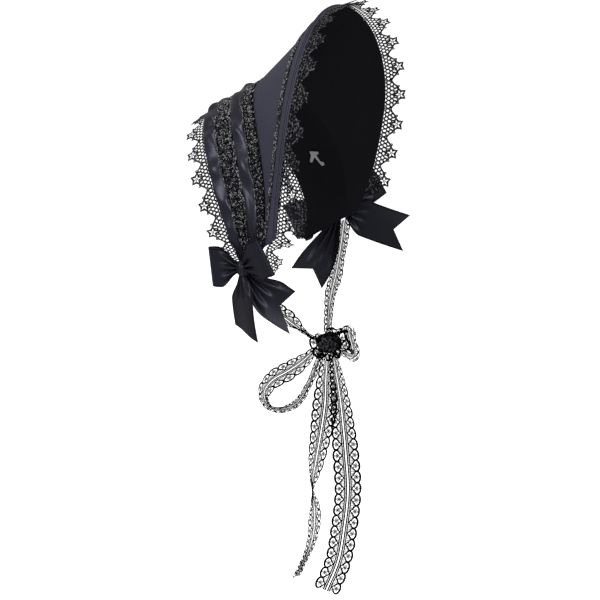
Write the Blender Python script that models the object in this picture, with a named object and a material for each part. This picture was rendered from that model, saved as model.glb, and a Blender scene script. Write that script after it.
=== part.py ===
"""Black satin half bonnet with lace trims, two side bows and lace chin ties.

The bonnet is three arches joined by two panels: the crown runs from the back arch to the
seam, and the brim from the seam to the front arch. Lengths are in millimetres and angles in
degrees until solid_from_patch turns them into metres. +Z is up, the wearer faces -Y, and the
origin is the top middle of the crown's inner side, where it sits on the head.
"""
import bmesh
import bpy
import numpy as np
from mathutils import geometry

MM = 0.001

# Each arch hangs from its top point. Its depth is half an ellipse down to the widest place
# and another below it, lean tips it backwards, and sweep carries its sides forward.
ARCHES = {
    "back": {"y": 25, "z": -9, "half_width": 98, "top": 105, "low": 72,
             "lean": 20, "sweep": -16, "end": 129},
    "seam": {"y": -24, "z": 18, "half_width": 101, "top": 132, "low": 60,
             "lean": -4, "sweep": -56, "end": 108},
    "front": {"y": -102, "z": 92, "half_width": 125, "top": 117, "low": 190,
              "lean": -8, "sweep": -15, "end": 121},
}
ARCH_SAMPLES = 400
ARCH_OVERRUN = 20

# Cloth layers, measured outwards from the outer face of the panels
CLOTH = 1.5
LINING = 1.0
SEAM_GAP = 0.8
LINING_GAP = 1.2
CROWN_LINING_TOP = -2.2
BRIM_LINING_TOP = -1.8
GATHER_DEPTH = 1.1
BACK_GATHER = 0.6
PUCKER_BASE = 0.5
EDGE_PUCKER = 0.3
TRIM = 1.0
TRIM_BASE = 0.5

# Trims across the crown, as fractions of its width from the back edge
CROWN_TRIMS = {
    "satin_ribbon_back": {"start": 0.005, "stop": 0.195, "pucker": 1.8, "waves": 16,
                          "scallop": 0.0, "material": "satin"},
    "lace_trim_wide": {"start": 0.235, "stop": 0.525, "pucker": 0.0, "waves": 25,
                       "scallop": 0.02, "material": "lace"},
    "satin_ribbon_middle": {"start": 0.565, "stop": 0.75, "pucker": 2.4, "waves": 10,
                            "scallop": 0.0, "material": "satin"},
    "lace_trim_seam": {"start": 0.79, "stop": 0.96, "pucker": 0.0, "waves": 25,
                       "scallop": 0.02, "material": "lace"},
}

# Trims along the brim, as distances in from its front edge
STRIP_WIDTH = 18
BRAID_START = 20
BRAID_WIDTH = 10
BRAID_SCALLOP = 1.2
BRAID_WAVES = 25
BRAID_BACK = 1.02

# Columns of faces round each arch, shared by all layers so that they follow each other
COLUMNS = 50

# Steps across and along the panels over which directions are taken, and the angle from
# which an edge is shaded sharp
ACROSS_STEP = 0.04
ALONG_STEP = 0.01
EDGE_STEP = 0.02
SHARP_EDGE = 50

# Star lace: a band on the edge that rises to a star in each repeat. The front one hangs on
# past the brim's right corner, where it turns inward by a further angle and moves back.
LACE = 1.0
LACE_SEAT = 0.6
LACE_MIDDLE = -1.4
LACE_FREE = -1.0
LACE_BAND = 7.5
LACE_SHOULDER = (9.5, 10.0)
STAR_CENTRE = 16.0
STAR_TIP = 5.5
STAR_NOTCH = 2.4
HOLE_AT = (8.0, 4.8)
HOLE_HALF = (2.6, 2.0)
STAR_LACES = {
    "star_lace_front": {"across": 2.0, "outward": 1, "turn": 26,
                        "stars": 21, "start": -1.17, "stop": 0.93, "end_turn": 38,
                        "end_back": 5},
    "star_lace_back": {"across": 0.0, "outward": -1, "turn": 0,
                       "stars": 15, "start": -1.0, "stop": 1.0, "end_turn": 0,
                       "end_back": 0},
}

# Satin bows. Each knot sits on the outside of a lower corner, at a place across and along
# the panels, and its loops and tails are given forward, up and out from it.
RIBBON = 38
SATIN = 1.0
KNOT_HALF = (6.0, 9.0, 8.0)
KNOT_LIFT = 10
ROOT_HALF = 4.5
ROOT_GAP = 0.6
ROOT_STEP = 0.1
LOOP_STATIONS = (0.0, 0.3, 0.65, 0.92, 1.0, 0.92, 0.65, 0.3, 0.0)
LOOP_OUT = (2.0, 5.0, 6.0, 4.5, 0.0, -4.5, -6.0, -4.5, -2.0)
LOOP_FAN = 0.65
FOLD = 2.0
TAIL_ROWS = 8
BOWS = {
    "right": {"side": -1, "across": 0.26, "along": 1.0,
              "loops": {"back": {"reach": -29, "rise": 1, "swing": 12, "lean": -8, "tilt": 0},
                        "front": {"reach": 34, "rise": 12, "swing": 21, "lean": -3,
                                  "tilt": 12}},
              "tails": {"front": {"bend": (16, -24, -3), "end": (44, -42, -18), "fan": 0.6,
                                  "turn": 0, "notch": 14, "slant": 8},
                        "hanging": {"bend": (-3, -32, 2), "end": (4, -63, 2), "fan": 0.4,
                                    "turn": 28, "notch": 0, "slant": -9}}},
    "left": {"side": 1, "across": 0.76, "along": 0.90,
             "loops": {"back": {"reach": -52, "rise": -18, "swing": 10, "lean": -6, "tilt": 0},
                       "front": {"reach": 38, "rise": 29, "swing": 20, "lean": -4,
                                 "tilt": 20}},
             "tails": {"front": {"bend": (34, -14, -3), "end": (71, -25, 0), "fan": 0.35,
                                 "turn": 0, "notch": 14, "slant": 2},
                       "hanging": {"bend": (2, -38, 16), "end": (-30, -77, 4), "fan": 0.55,
                                   "turn": 0, "notch": 12, "slant": 0}}},
}

# Lace ties. They hang in an upright plane turned TIE_TURN from the front. A route is given
# across that plane, up and out of it from the chin knot; turn twists the ribbon about its
# route, and a row marked knot is moved out to the knot's surface.
TIE_BUNCHED = 9
TIE_LACE = 0.9
TIE_TURN = 64
CHIN = (0, -94, -238)
CHIN_KNOT_HALF = (13, 11, 10)
KNOT_CLEARANCE = 0.6
CHANNEL = 2.2
SLOT_SHARE = 0.7
SCALLOP = 1.6
TIES = {
    "right_tie": {"slots": 6, "route": [
        {"across": -78.5, "up": 78, "out": 51.5, "turn": 64, "width": 24, "knot": False},
        {"across": -74, "up": 68, "out": 46, "turn": 55, "width": 28, "knot": False},
        {"across": -64, "up": 47, "out": 37, "turn": 35, "width": 28, "knot": False},
        {"across": -45, "up": 31, "out": 28, "turn": 40, "width": 28, "knot": False},
        {"across": -27, "up": 16, "out": 19, "turn": 68, "width": 24, "knot": False},
        {"across": -15, "up": 5, "out": 8, "turn": 70, "width": 9, "knot": True}]},
    "left_tie": {"slots": 6, "route": [
        {"across": 22, "up": 108.2, "out": -99, "turn": 64, "width": 28, "knot": False},
        {"across": 17, "up": 85, "out": -78, "turn": 69, "width": 28, "knot": False},
        {"across": 11, "up": 62, "out": -53, "turn": 70, "width": 28, "knot": False},
        {"across": 4, "up": 40, "out": -33, "turn": 70, "width": 26, "knot": False},
        {"across": -1, "up": 14, "out": -8, "turn": 60, "width": 9, "knot": True}]},
    "tie_loop": {"slots": 14, "route": [
        {"across": -13, "up": -5, "out": 5, "turn": 60, "width": 9, "knot": True},
        {"across": -26, "up": -16, "out": 10, "turn": 62, "width": 24, "knot": False},
        {"across": -42, "up": -26, "out": 13, "turn": 60, "width": 28, "knot": False},
        {"across": -56, "up": -34, "out": 13, "turn": 62, "width": 28, "knot": False},
        {"across": -64, "up": -47, "out": 8, "turn": 66, "width": 28, "knot": False},
        {"across": -60, "up": -62, "out": 1, "turn": 66, "width": 28, "knot": False},
        {"across": -47, "up": -68, "out": -5, "turn": 62, "width": 28, "knot": False},
        {"across": -33, "up": -64, "out": -8, "turn": 60, "width": 28, "knot": False},
        {"across": -20, "up": -45, "out": -8, "turn": 60, "width": 22, "knot": False},
        {"across": -9, "up": -12, "out": -5, "turn": 60, "width": 9, "knot": True}]},
    "tie_fold": {"slots": 4, "route": [
        {"across": 10, "up": 12, "out": 5, "turn": 60, "width": 9, "knot": True},
        {"across": 18, "up": 15, "out": 8, "turn": 55, "width": 20, "knot": False},
        {"across": 21, "up": 5, "out": 6, "turn": 60, "width": 24, "knot": False},
        {"across": 24, "up": -13, "out": 2, "turn": 60, "width": 18, "knot": False},
        {"across": 14, "up": -11, "out": -2, "turn": 60, "width": 9, "knot": True}]},
    "tie_tail_left": {"slots": 9, "route": [
        {"across": -1, "up": -12, "out": 5, "turn": 20, "width": 9, "knot": True},
        {"across": -3, "up": -34, "out": 8, "turn": 25, "width": 20, "knot": False},
        {"across": -4, "up": -58, "out": 9, "turn": 32, "width": 28, "knot": False},
        {"across": -8, "up": -88, "out": 9, "turn": 40, "width": 28, "knot": False},
        {"across": -13, "up": -118, "out": 9, "turn": 58, "width": 28, "knot": False},
        {"across": -17, "up": -146, "out": 8, "turn": 92, "width": 28, "knot": False},
        {"across": -14, "up": -171, "out": 7, "turn": 118, "width": 28, "knot": False},
        {"across": -16, "up": -197, "out": 7, "turn": 118, "width": 28, "knot": False},
        {"across": -32, "up": -237, "out": 8, "turn": 116, "width": 28, "knot": False}]},
    "tie_tail_right": {"slots": 10, "route": [
        {"across": 6, "up": -12, "out": -5, "turn": 40, "width": 9, "knot": True},
        {"across": 9, "up": -37, "out": -7, "turn": 52, "width": 24, "knot": False},
        {"across": 12, "up": -58, "out": -8, "turn": 50, "width": 28, "knot": False},
        {"across": 15, "up": -85, "out": -8, "turn": 35, "width": 28, "knot": False},
        {"across": 18, "up": -118, "out": -7, "turn": 8, "width": 28, "knot": False},
        {"across": 20, "up": -151, "out": -5, "turn": 0, "width": 28, "knot": False},
        {"across": 16, "up": -192, "out": -3, "turn": 0, "width": 28, "knot": False},
        {"across": 10, "up": -225, "out": -1, "turn": 0, "width": 28, "knot": False},
        {"across": -2, "up": -255, "out": 0, "turn": 0, "width": 28, "knot": False}]},
}

# Hair clip, a bent metal strip under the crown's lining
CLIP = {"across": 0.56, "along": 0.61, "thick": 0.9, "gap": 0.4}
CLIP_OUTLINE = ((-4.5, 6), (4.5, 6), (4.5, 3), (3.5, 2.5), (5.5, -6), (3, -6.5), (0, -0.5),
                (-7, -10), (-10, -8.5), (-9, -5.5), (-5.5, -5), (-2, 2.5), (-4.5, 3))

# Colour, roughness and metallic value of each material
MATERIALS = {
    "satin": ((0.022, 0.022, 0.030), 0.32, 0.0),
    "brim_cloth": ((0.030, 0.030, 0.040), 0.60, 0.0),
    "lining": ((0.007, 0.006, 0.009), 0.75, 0.0),
    "lace": ((0.006, 0.006, 0.008), 0.70, 0.0),
    "metal": ((0.45, 0.45, 0.47), 0.35, 1.0),
}


def clear_scene():
    """Removes whatever the scene holds."""
    for item in list(bpy.data.objects):
        bpy.data.objects.remove(item, do_unlink=True)


def material(name):
    """Returns the named material, made on first use."""
    found = bpy.data.materials.get(name)
    if found:
        return found
    color, roughness, metallic = MATERIALS[name]
    made = bpy.data.materials.new(name)
    made.use_nodes = True
    shader = made.node_tree.nodes["Principled BSDF"]
    shader.inputs["Base Color"].default_value = (*color, 1.0)
    shader.inputs["Roughness"].default_value = roughness
    shader.inputs["Metallic"].default_value = metallic
    return made


def add_piece(name, mesh, finish):
    """Places a finished mesh in the scene under its own name."""
    mesh.materials.append(material(finish))
    piece = bpy.data.objects.new(name, mesh)
    bpy.context.collection.objects.link(piece)
    return piece


def solid_from_patch(name, high, low, faces, finish):
    """Closes two copies of a patch, one above the other, into one solid."""
    count = len(high)
    points = [tuple(MM * value for value in point) for point in (*high, *low)]
    directed = {(face[i], face[(i + 1) % len(face)]) for face in faces for i in range(len(face))}
    solid = [tuple(face) for face in faces]
    solid += [tuple(corner + count for corner in reversed(face)) for face in faces]
    for start, stop in sorted(directed):
        if (stop, start) not in directed:
            solid.append((stop, start, start + count, stop + count))
    mesh = bpy.data.meshes.new(name)
    mesh.from_pydata(points, [], solid)
    mesh.update()
    mesh.shade_smooth()
    mesh.set_sharp_from_angle(angle=np.radians(SHARP_EDGE))
    return add_piece(name, mesh, finish)


def grid_faces(rows, columns, left_out=()):
    """Triangles of a grid of points, its two halves cut as mirror images of each other."""
    faces = []
    for row in range(rows - 1):
        for column in range(columns - 1):
            if (row, column) in left_out:
                continue
            corner = row * columns + column
            cell = [corner, corner + columns, corner + columns + 1, corner + 1]
            if column >= (columns - 1) / 2:
                cell = cell[1:] + cell[:1]
            faces.append((cell[0], cell[1], cell[2]))
            faces.append((cell[0], cell[2], cell[3]))
    return faces


def unit(vectors):
    """Scales vectors to length one."""
    return vectors / np.linalg.norm(vectors, axis=-1, keepdims=True)


def grid_normals(grid):
    """Normals of a grid of points, from the directions along its rows and columns."""
    return unit(np.cross(np.gradient(grid, axis=0), np.gradient(grid, axis=1)))


def sheet(name, grid, thickness, finish, left_out=()):
    """A sheet of even thickness whose middle is the grid."""
    normals = grid_normals(grid)
    rows, columns = grid.shape[:2]
    high = (grid + normals * thickness / 2).reshape(-1, 3)
    low = (grid - normals * thickness / 2).reshape(-1, 3)
    return solid_from_patch(name, high, low, grid_faces(rows, columns, left_out), finish)


def arch_point(name, theta):
    """A point on an arch, at an angle from its top."""
    arch = ARCHES[name]
    semi = np.where(np.abs(theta) < np.pi / 2, arch["top"], arch["low"])
    down = arch["top"] - semi * np.cos(theta)
    lean = np.radians(arch["lean"])
    return np.stack([arch["half_width"] * np.sin(theta),
                     arch["y"] - down * np.sin(lean) + arch["sweep"] * np.sin(theta) ** 2,
                     arch["z"] - down * np.cos(lean)], axis=-1)


def arch_length_table(name):
    """Shares of an arch's half length at sampled angles, past its end too, and that length."""
    end = np.radians(ARCHES[name]["end"])
    theta = np.linspace(0, end + np.radians(ARCH_OVERRUN), ARCH_SAMPLES)
    steps = np.linalg.norm(np.diff(arch_point(name, theta), axis=0), axis=1)
    lengths = np.concatenate([[0], np.cumsum(steps)])
    half = np.interp(end, theta, lengths)
    return lengths / half, theta, half


ARCH_TABLES = {name: arch_length_table(name) for name in ARCHES}


def arch_at(name, along):
    """A point on an arch at a share of its half length, from -1 to 1."""
    shares, theta, _ = ARCH_TABLES[name]
    along = np.asarray(along, dtype=float)
    return arch_point(name, np.sign(along) * np.interp(np.abs(along), shares, theta))


def skin(across, along):
    """Outer face of the panels: across is 0 at the back, 1 at the seam and 2 at the front."""
    across = np.asarray(across, dtype=float)[..., None]
    crown = arch_at("back", along) * (1 - across) + arch_at("seam", along) * across
    brim = arch_at("seam", along) * (2 - across) + arch_at("front", along) * (across - 1)
    return np.where(across <= 1, crown, brim)


def skin_normal(across, along):
    """Outward normal of the panels, rounded over at the seam."""
    across, along = np.broadcast_arrays(np.asarray(across, float), np.asarray(along, float))
    forward = skin(across + ACROSS_STEP, along) - skin(across - ACROSS_STEP, along)
    sideways = skin(across, along + ALONG_STEP) - skin(across, along - ALONG_STEP)
    return unit(np.cross(forward, sideways))


def lifted(across, along, lift):
    """A point above or below the outer face of the panels."""
    lift = np.asarray(lift, dtype=float)[..., None]
    return skin(across, along) + skin_normal(across, along) * lift


def layer(name, across, columns, low, high, finish):
    """A layer of cloth over the panels.

    across holds a function of along for each row, and low and high one of along and the
    row's number, all worked out at every column.
    """
    along = np.linspace(-1, 1, columns + 1)
    rows = [place(along) * np.ones_like(along) for place in across]
    top = [lifted(row, along, high(along, number)) for number, row in enumerate(rows)]
    bottom = [lifted(row, along, low(along, number)) for number, row in enumerate(rows)]
    return solid_from_patch(name, np.concatenate(top), np.concatenate(bottom),
                            grid_faces(len(rows), columns + 1), finish)


def level(value):
    """A height or place that is the same everywhere."""
    return lambda along, row=0: value * np.ones_like(along)


def from_front(distance):
    """Place across the brim that lies a distance in from its front edge."""
    def place(along):
        width = np.linalg.norm(arch_at("front", along) - arch_at("seam", along), axis=-1)
        return 2 - distance / width
    return place


def make_panels():
    """Crown, brim and their linings."""
    crown_width = np.linalg.norm(arch_at("back", 0) - arch_at("seam", 0))
    brim_width = np.linalg.norm(arch_at("front", 1) - arch_at("seam", 1))
    crown_stop = 1 - SEAM_GAP / 2 / crown_width
    brim_start = 1 + SEAM_GAP / 2 / brim_width
    layer("crown_band", [level(0), level(0.5), level(crown_stop)], COLUMNS,
          level(-CLOTH), level(0), "satin")
    layer("brim_panel", [level(brim_start), level(1.5), level(2)], COLUMNS,
          level(-CLOTH), level(0), "brim_cloth")
    layer("brim_lining", [level(brim_start), level(1.5), level(2)], COLUMNS,
          level(BRIM_LINING_TOP - LINING), level(BRIM_LINING_TOP), "lining")

    def gathered(along, row):
        """Inner side of the crown lining, drawn into folds that run across it."""
        columns = np.rint((along + 1) * COLUMNS / 2).astype(int)
        return CROWN_LINING_TOP - LINING - GATHER_DEPTH * (columns % 2) * (
            BACK_GATHER if row == 0 else 1)

    lining_stop = 1 - LINING_GAP / crown_width
    layer("crown_lining", [level(0), level(0.5), level(lining_stop)], COLUMNS,
          gathered, level(CROWN_LINING_TOP), "lining")


def make_crown_trims():
    """Puckered satin ribbons and scalloped laces laid round the crown."""
    for name, trim in CROWN_TRIMS.items():
        def start(along, trim=trim):
            return trim["start"] + trim["scallop"] * np.cos(along * np.pi * trim["waves"])

        def stop(along, trim=trim):
            return trim["stop"] - trim["scallop"] * np.cos(along * np.pi * trim["waves"])

        def middle(along, start=start, stop=stop):
            return (start(along) + stop(along)) / 2

        def puckered(along, row, trim=trim):
            wave = PUCKER_BASE * (1 + np.sin(along * np.pi * trim["waves"] + row))
            swell = trim["pucker"] * wave
            return TRIM_BASE + TRIM + (swell if row == 1 else swell * EDGE_PUCKER)

        layer(name, [start, middle, stop] if trim["pucker"] else [start, stop],
              COLUMNS, level(TRIM_BASE), puckered, trim["material"])


def make_brim_trims():
    """Flat strip along the brim's front edge, and the narrow braid behind it."""
    layer("edge_strip", [from_front(STRIP_WIDTH), from_front(0)], COLUMNS,
          level(TRIM_BASE), level(TRIM_BASE + TRIM), "brim_cloth")

    def braid_edge(distance, sign):
        def place(along):
            wave = sign * BRAID_SCALLOP * np.cos(along * np.pi * BRAID_WAVES)
            width = np.linalg.norm(arch_at("front", along) - arch_at("seam", along), axis=-1)
            return np.maximum(2 - (distance + wave) / width, BRAID_BACK)
        return place

    layer("braid_trim", [braid_edge(BRAID_START + BRAID_WIDTH, 1), braid_edge(BRAID_START, -1)],
          COLUMNS, level(TRIM_BASE), level(TRIM_BASE + TRIM), "lace")


def star_repeat(pitch):
    """Outer edge of one repeat of the star lace, from its left end to its star and on."""
    angles = np.radians(90 + 36 * np.arange(-4, 5))
    radii = [STAR_TIP if step % 2 == 0 else STAR_NOTCH for step in range(-4, 5)]
    star = [(radius * np.cos(angle), STAR_CENTRE + radius * np.sin(angle))
            for radius, angle in zip(radii, angles)]
    star.reverse()
    shoulder, height = LACE_SHOULDER
    return [(-pitch / 2, LACE_BAND), (-shoulder, height), *star, (shoulder, height)]


def inside(point, outline):
    """Whether a flat point lies inside an outline."""
    x, y = point
    crossings = False
    for (x0, y0), (x1, y1) in zip(outline, outline[1:] + outline[:1]):
        if (y0 > y) != (y1 > y) and x < (x1 - x0) * (y - y0) / (y1 - y0) + x0:
            crossings = not crossings
    return crossings


def pierced_patch(outline, holes):
    """Triangles that fill a flat outline and leave its holes open."""
    points = []
    edges = []
    for ring in (outline, *holes):
        first = len(points)
        points += [tuple(point) for point in ring]
        edges += [(first + i, first + (i + 1) % len(ring)) for i in range(len(ring))]
    flat, _, triangles, *_ = geometry.delaunay_2d_cdt(points, edges, [], 0, 1e-6)
    kept = []
    for corners in triangles:
        middle = tuple(sum(flat[corner][axis] for corner in corners) / 3 for axis in (0, 1))
        if inside(middle, outline) and not any(inside(middle, hole) for hole in holes):
            kept.append(tuple(corners))
    return np.array([tuple(point) for point in flat]), kept


def edge_frame(lace, along):
    """Edge point with the directions out of the edge and off the sheet of its lace."""
    across, outward = lace["across"], lace["outward"]
    base = lifted(across, along, LACE_MIDDLE)
    tangent = unit(skin(across, along + ALONG_STEP) - skin(across, along - ALONG_STEP))
    away = skin(across + EDGE_STEP, along) - skin(across - EDGE_STEP, along)
    away = outward * (away - tangent * np.sum(away * tangent, axis=-1, keepdims=True))
    away = unit(away)
    normal = skin_normal(across, along)
    normal = unit(normal - away * np.sum(normal * away, axis=-1, keepdims=True))
    past = np.clip((LACE_FREE - along) / (LACE_FREE - lace["start"] or 1), 0, 1)
    past = (past * past * (3 - 2 * past))[:, None]
    angle = np.radians(lace["turn"] + lace["end_turn"] * past)
    return (base - away * past * lace["end_back"],
            away * np.cos(angle) - normal * np.sin(angle),
            normal * np.cos(angle) + away * np.sin(angle))


def make_star_laces():
    """Pierced star laces, on the brim's front edge and the crown's back edge."""
    for name, lace in STAR_LACES.items():
        half = ARCH_TABLES["front" if lace["across"] else "back"][2]
        length = half * (lace["stop"] - lace["start"])
        pitch = length / lace["stars"]
        centres = [pitch * (number + 0.5) for number in range(lace["stars"])]
        outline = [(x + centre, y) for centre in centres for x, y in star_repeat(pitch)]
        outline.append((length, LACE_BAND))
        seat = [pitch * step / 2 for step in range(2 * lace["stars"], -1, -1)]
        outline += [(x, LACE_SEAT) for x in seat]
        across_hole, deep_hole = HOLE_HALF
        holes = []
        for centre in centres:
            for side in (-1, 1):
                x, y = centre + side * HOLE_AT[0], HOLE_AT[1]
                holes.append([(x - across_hole, y), (x, y - deep_hole),
                              (x + across_hole, y), (x, y + deep_hole)])
        flat, triangles = pierced_patch(outline, holes)
        along = lace["start"] + flat[:, 0] / half
        base, away, normal = edge_frame(lace, along)
        middle = base + away * flat[:, 1:2]
        if lace["outward"] > 0:
            triangles = [tuple(reversed(triangle)) for triangle in triangles]
        solid_from_patch(name, middle + normal * LACE / 2, middle - normal * LACE / 2,
                         triangles, "lace")


def rounded_lump(name, centre, axes, half_sizes, finish):
    """A round knot with its own three directions."""
    body = bmesh.new()
    bmesh.ops.create_icosphere(body, subdivisions=2, radius=1)
    for vertex in body.verts:
        place = sum(vertex.co[i] * half_sizes[i] * axes[i] for i in range(3)) + centre
        vertex.co = MM * place
    if np.linalg.det(axes) < 0:
        bmesh.ops.reverse_faces(body, faces=body.faces)
    mesh = bpy.data.meshes.new(name)
    body.to_mesh(mesh)
    body.free()
    mesh.shade_smooth()
    return add_piece(name, mesh, finish)


def bow_axes(bow):
    """Forward, up and out directions of a bow, with its knot's centre."""
    along = bow["side"] * bow["along"]
    centre = lifted(bow["across"], along, KNOT_LIFT)
    out = skin_normal(bow["across"], along)
    out = unit(out * np.array([1, 1, 0]))
    up = np.array([0.0, 0.0, 1.0])
    forward = np.cross(out, up) * bow["side"]
    return centre, np.stack([forward, up, out])


def knot_reach(direction, half_sizes):
    """Distance from an ellipsoid's centre to its surface."""
    return 1 / np.linalg.norm(direction / np.array(half_sizes))


def root_distance(direction, edge, crests):
    """Distance from a bow knot's middle at which a ribbon's first row just clears it."""
    reach = np.array(KNOT_HALF) + ROOT_GAP
    corners = [-edge * ROOT_HALF, edge * ROOT_HALF, *crests]
    distance = 0
    while min(np.linalg.norm((direction * distance + corner) / reach) for corner in corners) < 1:
        distance += ROOT_STEP
    return distance


def bow_loop(name, centre, axes, loop):
    """A ribbon that runs out, turns back on itself and returns to the knot."""
    line = np.array([loop["reach"], loop["rise"], loop["swing"]], dtype=float)
    length = np.linalg.norm(line)
    line = line / length
    width = unit(np.array([-line[1], line[0], 0.0])) * np.sign(loop["reach"])
    lean = np.radians(loop["lean"])
    end_width = width * np.cos(lean) - line * np.sin(lean)
    off = unit(np.cross(line, width)) * np.sign(loop["reach"])
    crests = [off * (LOOP_OUT[end] + FOLD * np.sign(LOOP_OUT[end])) for end in (0, -1)]
    root = root_distance(line, width, crests)
    rows = []
    for station, out in zip(LOOP_STATIONS, LOOP_OUT):
        spread = min(1.0, station / LOOP_FAN)
        half = ROOT_HALF + (RIBBON / 2 - ROOT_HALF) * spread
        edge = unit(width * (1 - spread) + end_width * spread)
        tilt = np.radians(loop["tilt"]) * spread
        edge = edge * np.cos(tilt) + np.array([0, 0, np.sin(tilt)])
        middle = line * (root + (length - root) * station)
        crest = FOLD * (1 - station) * np.sign(out)
        rows.append([middle + edge * half * share + off * (out + crest * (share == 0))
                     for share in (-1, 0, 1)])
    return sheet(name, centre + np.array(rows) @ axes, SATIN, "satin")


def bow_tail(name, centre, axes, tail):
    """A ribbon's free end, which widens from the knot to a notched or slanted cut."""
    end = np.array(tail["end"], dtype=float)
    bend = np.array(tail["bend"], dtype=float)
    start = unit(bend)
    sideways = unit(np.cross([0, 0, 1.0], start))
    root = start * root_distance(start, sideways, [np.cross(start, sideways) * FOLD])
    rows = []
    for row in range(TAIL_ROWS):
        share = row / (TAIL_ROWS - 1)
        middle = root * (1 - share) ** 2 + 2 * bend * share * (1 - share) + end * share ** 2
        run = unit(2 * (bend - root) * (1 - share) + 2 * (end - bend) * share)
        flat = unit(np.cross([0, 0, 1.0], run))
        turn = np.radians(tail["turn"])
        edge = flat * np.cos(turn) + np.cross(run, flat) * np.sin(turn)
        half = ROOT_HALF + (RIBBON / 2 - ROOT_HALF) * min(1.0, share / tail["fan"])
        crest = np.cross(run, edge) * FOLD * (1 - share)
        last = row == TAIL_ROWS - 1
        rows.append([middle + edge * half * side + crest * (side == 0)
                     - run * last * (tail["notch"] * (side == 0) + tail["slant"] * side)
                     for side in (-1, 0, 1)])
    return sheet(name, centre + np.array(rows) @ axes, SATIN, "satin")


def make_bows():
    """A bow at each lower corner: knot, two loops and two tails."""
    for side, bow in BOWS.items():
        centre, axes = bow_axes(bow)
        rounded_lump(f"{side}_bow_knot", centre, axes, KNOT_HALF, "satin")
        for place, loop in bow["loops"].items():
            bow_loop(f"{side}_bow_{place}_loop", centre, axes, loop)
        for place, tail in bow["tails"].items():
            bow_tail(f"{side}_bow_{place}_tail", centre, axes, tail)


def tie_axes():
    """Across, up and out directions of the upright plane that the ties hang in."""
    turn = np.radians(TIE_TURN)
    return np.array([[np.cos(turn), -np.sin(turn), 0], [0, 0, 1],
                     [-np.sin(turn), -np.cos(turn), 0]])


def smooth_rows(rows, shares):
    """Reads rows of values at shares of their length, on a smooth curve through them."""
    steps = np.linalg.norm(np.diff(rows[:, :3], axis=0), axis=1)
    knots = np.concatenate([[0], np.cumsum(steps)]) / steps.sum()
    slopes = np.gradient(rows, knots, axis=0)
    result = []
    for share in shares:
        i = min(np.searchsorted(knots, share, side="right") - 1, len(knots) - 2)
        span = knots[i + 1] - knots[i]
        t = (share - knots[i]) / span
        result.append((1 + 2 * t) * (1 - t) ** 2 * rows[i] + t * (1 - t) ** 2 * span * slopes[i]
                      + t * t * (3 - 2 * t) * rows[i + 1] - t * t * (1 - t) * span * slopes[i + 1])
    return np.array(result)


def tie_grid(tie):
    """Grid of points along a lace ribbon, with its two edges and its central channel."""
    rows = []
    for row in tie["route"]:
        place = np.array([row["across"], row["up"], row["out"]], dtype=float)
        if row["knot"]:
            place = unit(place) * (knot_reach(unit(place), CHIN_KNOT_HALF) + KNOT_CLEARANCE)
        rows.append([*place, row["turn"], row["width"]])
    shares = []
    for slot in range(tie["slots"]):
        shares += [slot / tie["slots"], (slot + SLOT_SHARE) / tie["slots"]]
    shares.append(1.0)
    read = smooth_rows(np.array(rows), shares)
    middle = read[:, :3]
    run = unit(np.gradient(middle, axis=0))
    flat = unit(np.cross([0, 0, 1.0], run))
    turn = np.radians(read[:, 3:4])
    edge = flat * np.cos(turn) + np.cross(run, flat) * np.sin(turn)
    half = read[:, 4:5] / 2
    half = half - SCALLOP * (np.arange(len(shares)) % 2)[:, None] * (half > TIE_BUNCHED)
    columns = [middle - edge * half, middle - edge * CHANNEL, middle + edge * CHANNEL,
               middle + edge * half]
    return np.array(CHIN) + np.stack(columns, axis=1) @ tie_axes()


def make_ties():
    """Lace ribbons from the lower corners to the knot under the chin, and its loose ends."""
    rounded_lump("tie_knot", np.array(CHIN), tie_axes(), CHIN_KNOT_HALF, "lace")
    for name, tie in TIES.items():
        slots = {(2 * slot, 1) for slot in range(tie["slots"])} - {(0, 1)}
        sheet(name, tie_grid(tie), TIE_LACE, "lace", slots)


def make_clip():
    """Flat hair clip that lies against the crown's lining."""
    across, along = CLIP["across"], CLIP["along"]
    normal = skin_normal(across, along)
    top = CROWN_LINING_TOP - LINING - GATHER_DEPTH - CLIP["gap"]
    centre = lifted(across, along, top)
    up = unit(np.array([0, 0, 1.0]) - normal * normal[2])
    side = np.cross(up, normal)
    flat, triangles = pierced_patch(list(CLIP_OUTLINE), [])
    high = centre + flat[:, :1] * side + flat[:, 1:] * up
    solid_from_patch("hair_clip", high, high - normal * CLIP["thick"], triangles, "metal")


def main():
    """Builds the whole bonnet."""
    clear_scene()
    make_panels()
    make_crown_trims()
    make_brim_trims()
    make_star_laces()
    make_bows()
    make_ties()
    make_clip()


main()
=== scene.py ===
"""Looks of a black half bonnet with lace trims, two satin bows and lace chin ties.

The bonnet's form is repeated here from its driving sizes, and each piece lies where its solid
does. Sizes are in millimetres and angles in degrees until a mesh is made, which is in metres.
"""
import logging
import math
from collections.abc import Callable, Sequence
from dataclasses import dataclass, field, replace
from enum import Enum

import bpy
import numpy as np
from mathutils import Matrix, Vector


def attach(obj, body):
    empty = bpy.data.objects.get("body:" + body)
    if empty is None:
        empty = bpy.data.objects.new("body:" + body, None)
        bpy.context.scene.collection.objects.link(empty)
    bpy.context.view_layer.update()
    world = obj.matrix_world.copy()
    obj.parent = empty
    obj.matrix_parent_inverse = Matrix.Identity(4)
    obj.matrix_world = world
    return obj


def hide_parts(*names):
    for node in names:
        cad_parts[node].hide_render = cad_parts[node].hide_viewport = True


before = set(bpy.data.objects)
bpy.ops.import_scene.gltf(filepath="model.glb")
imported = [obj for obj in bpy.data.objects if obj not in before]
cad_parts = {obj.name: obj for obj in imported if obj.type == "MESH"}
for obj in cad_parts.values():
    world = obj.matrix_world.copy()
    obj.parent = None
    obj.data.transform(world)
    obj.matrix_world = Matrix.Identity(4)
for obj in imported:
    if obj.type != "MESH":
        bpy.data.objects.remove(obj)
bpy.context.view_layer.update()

Array = np.ndarray
MM = 0.001
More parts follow.
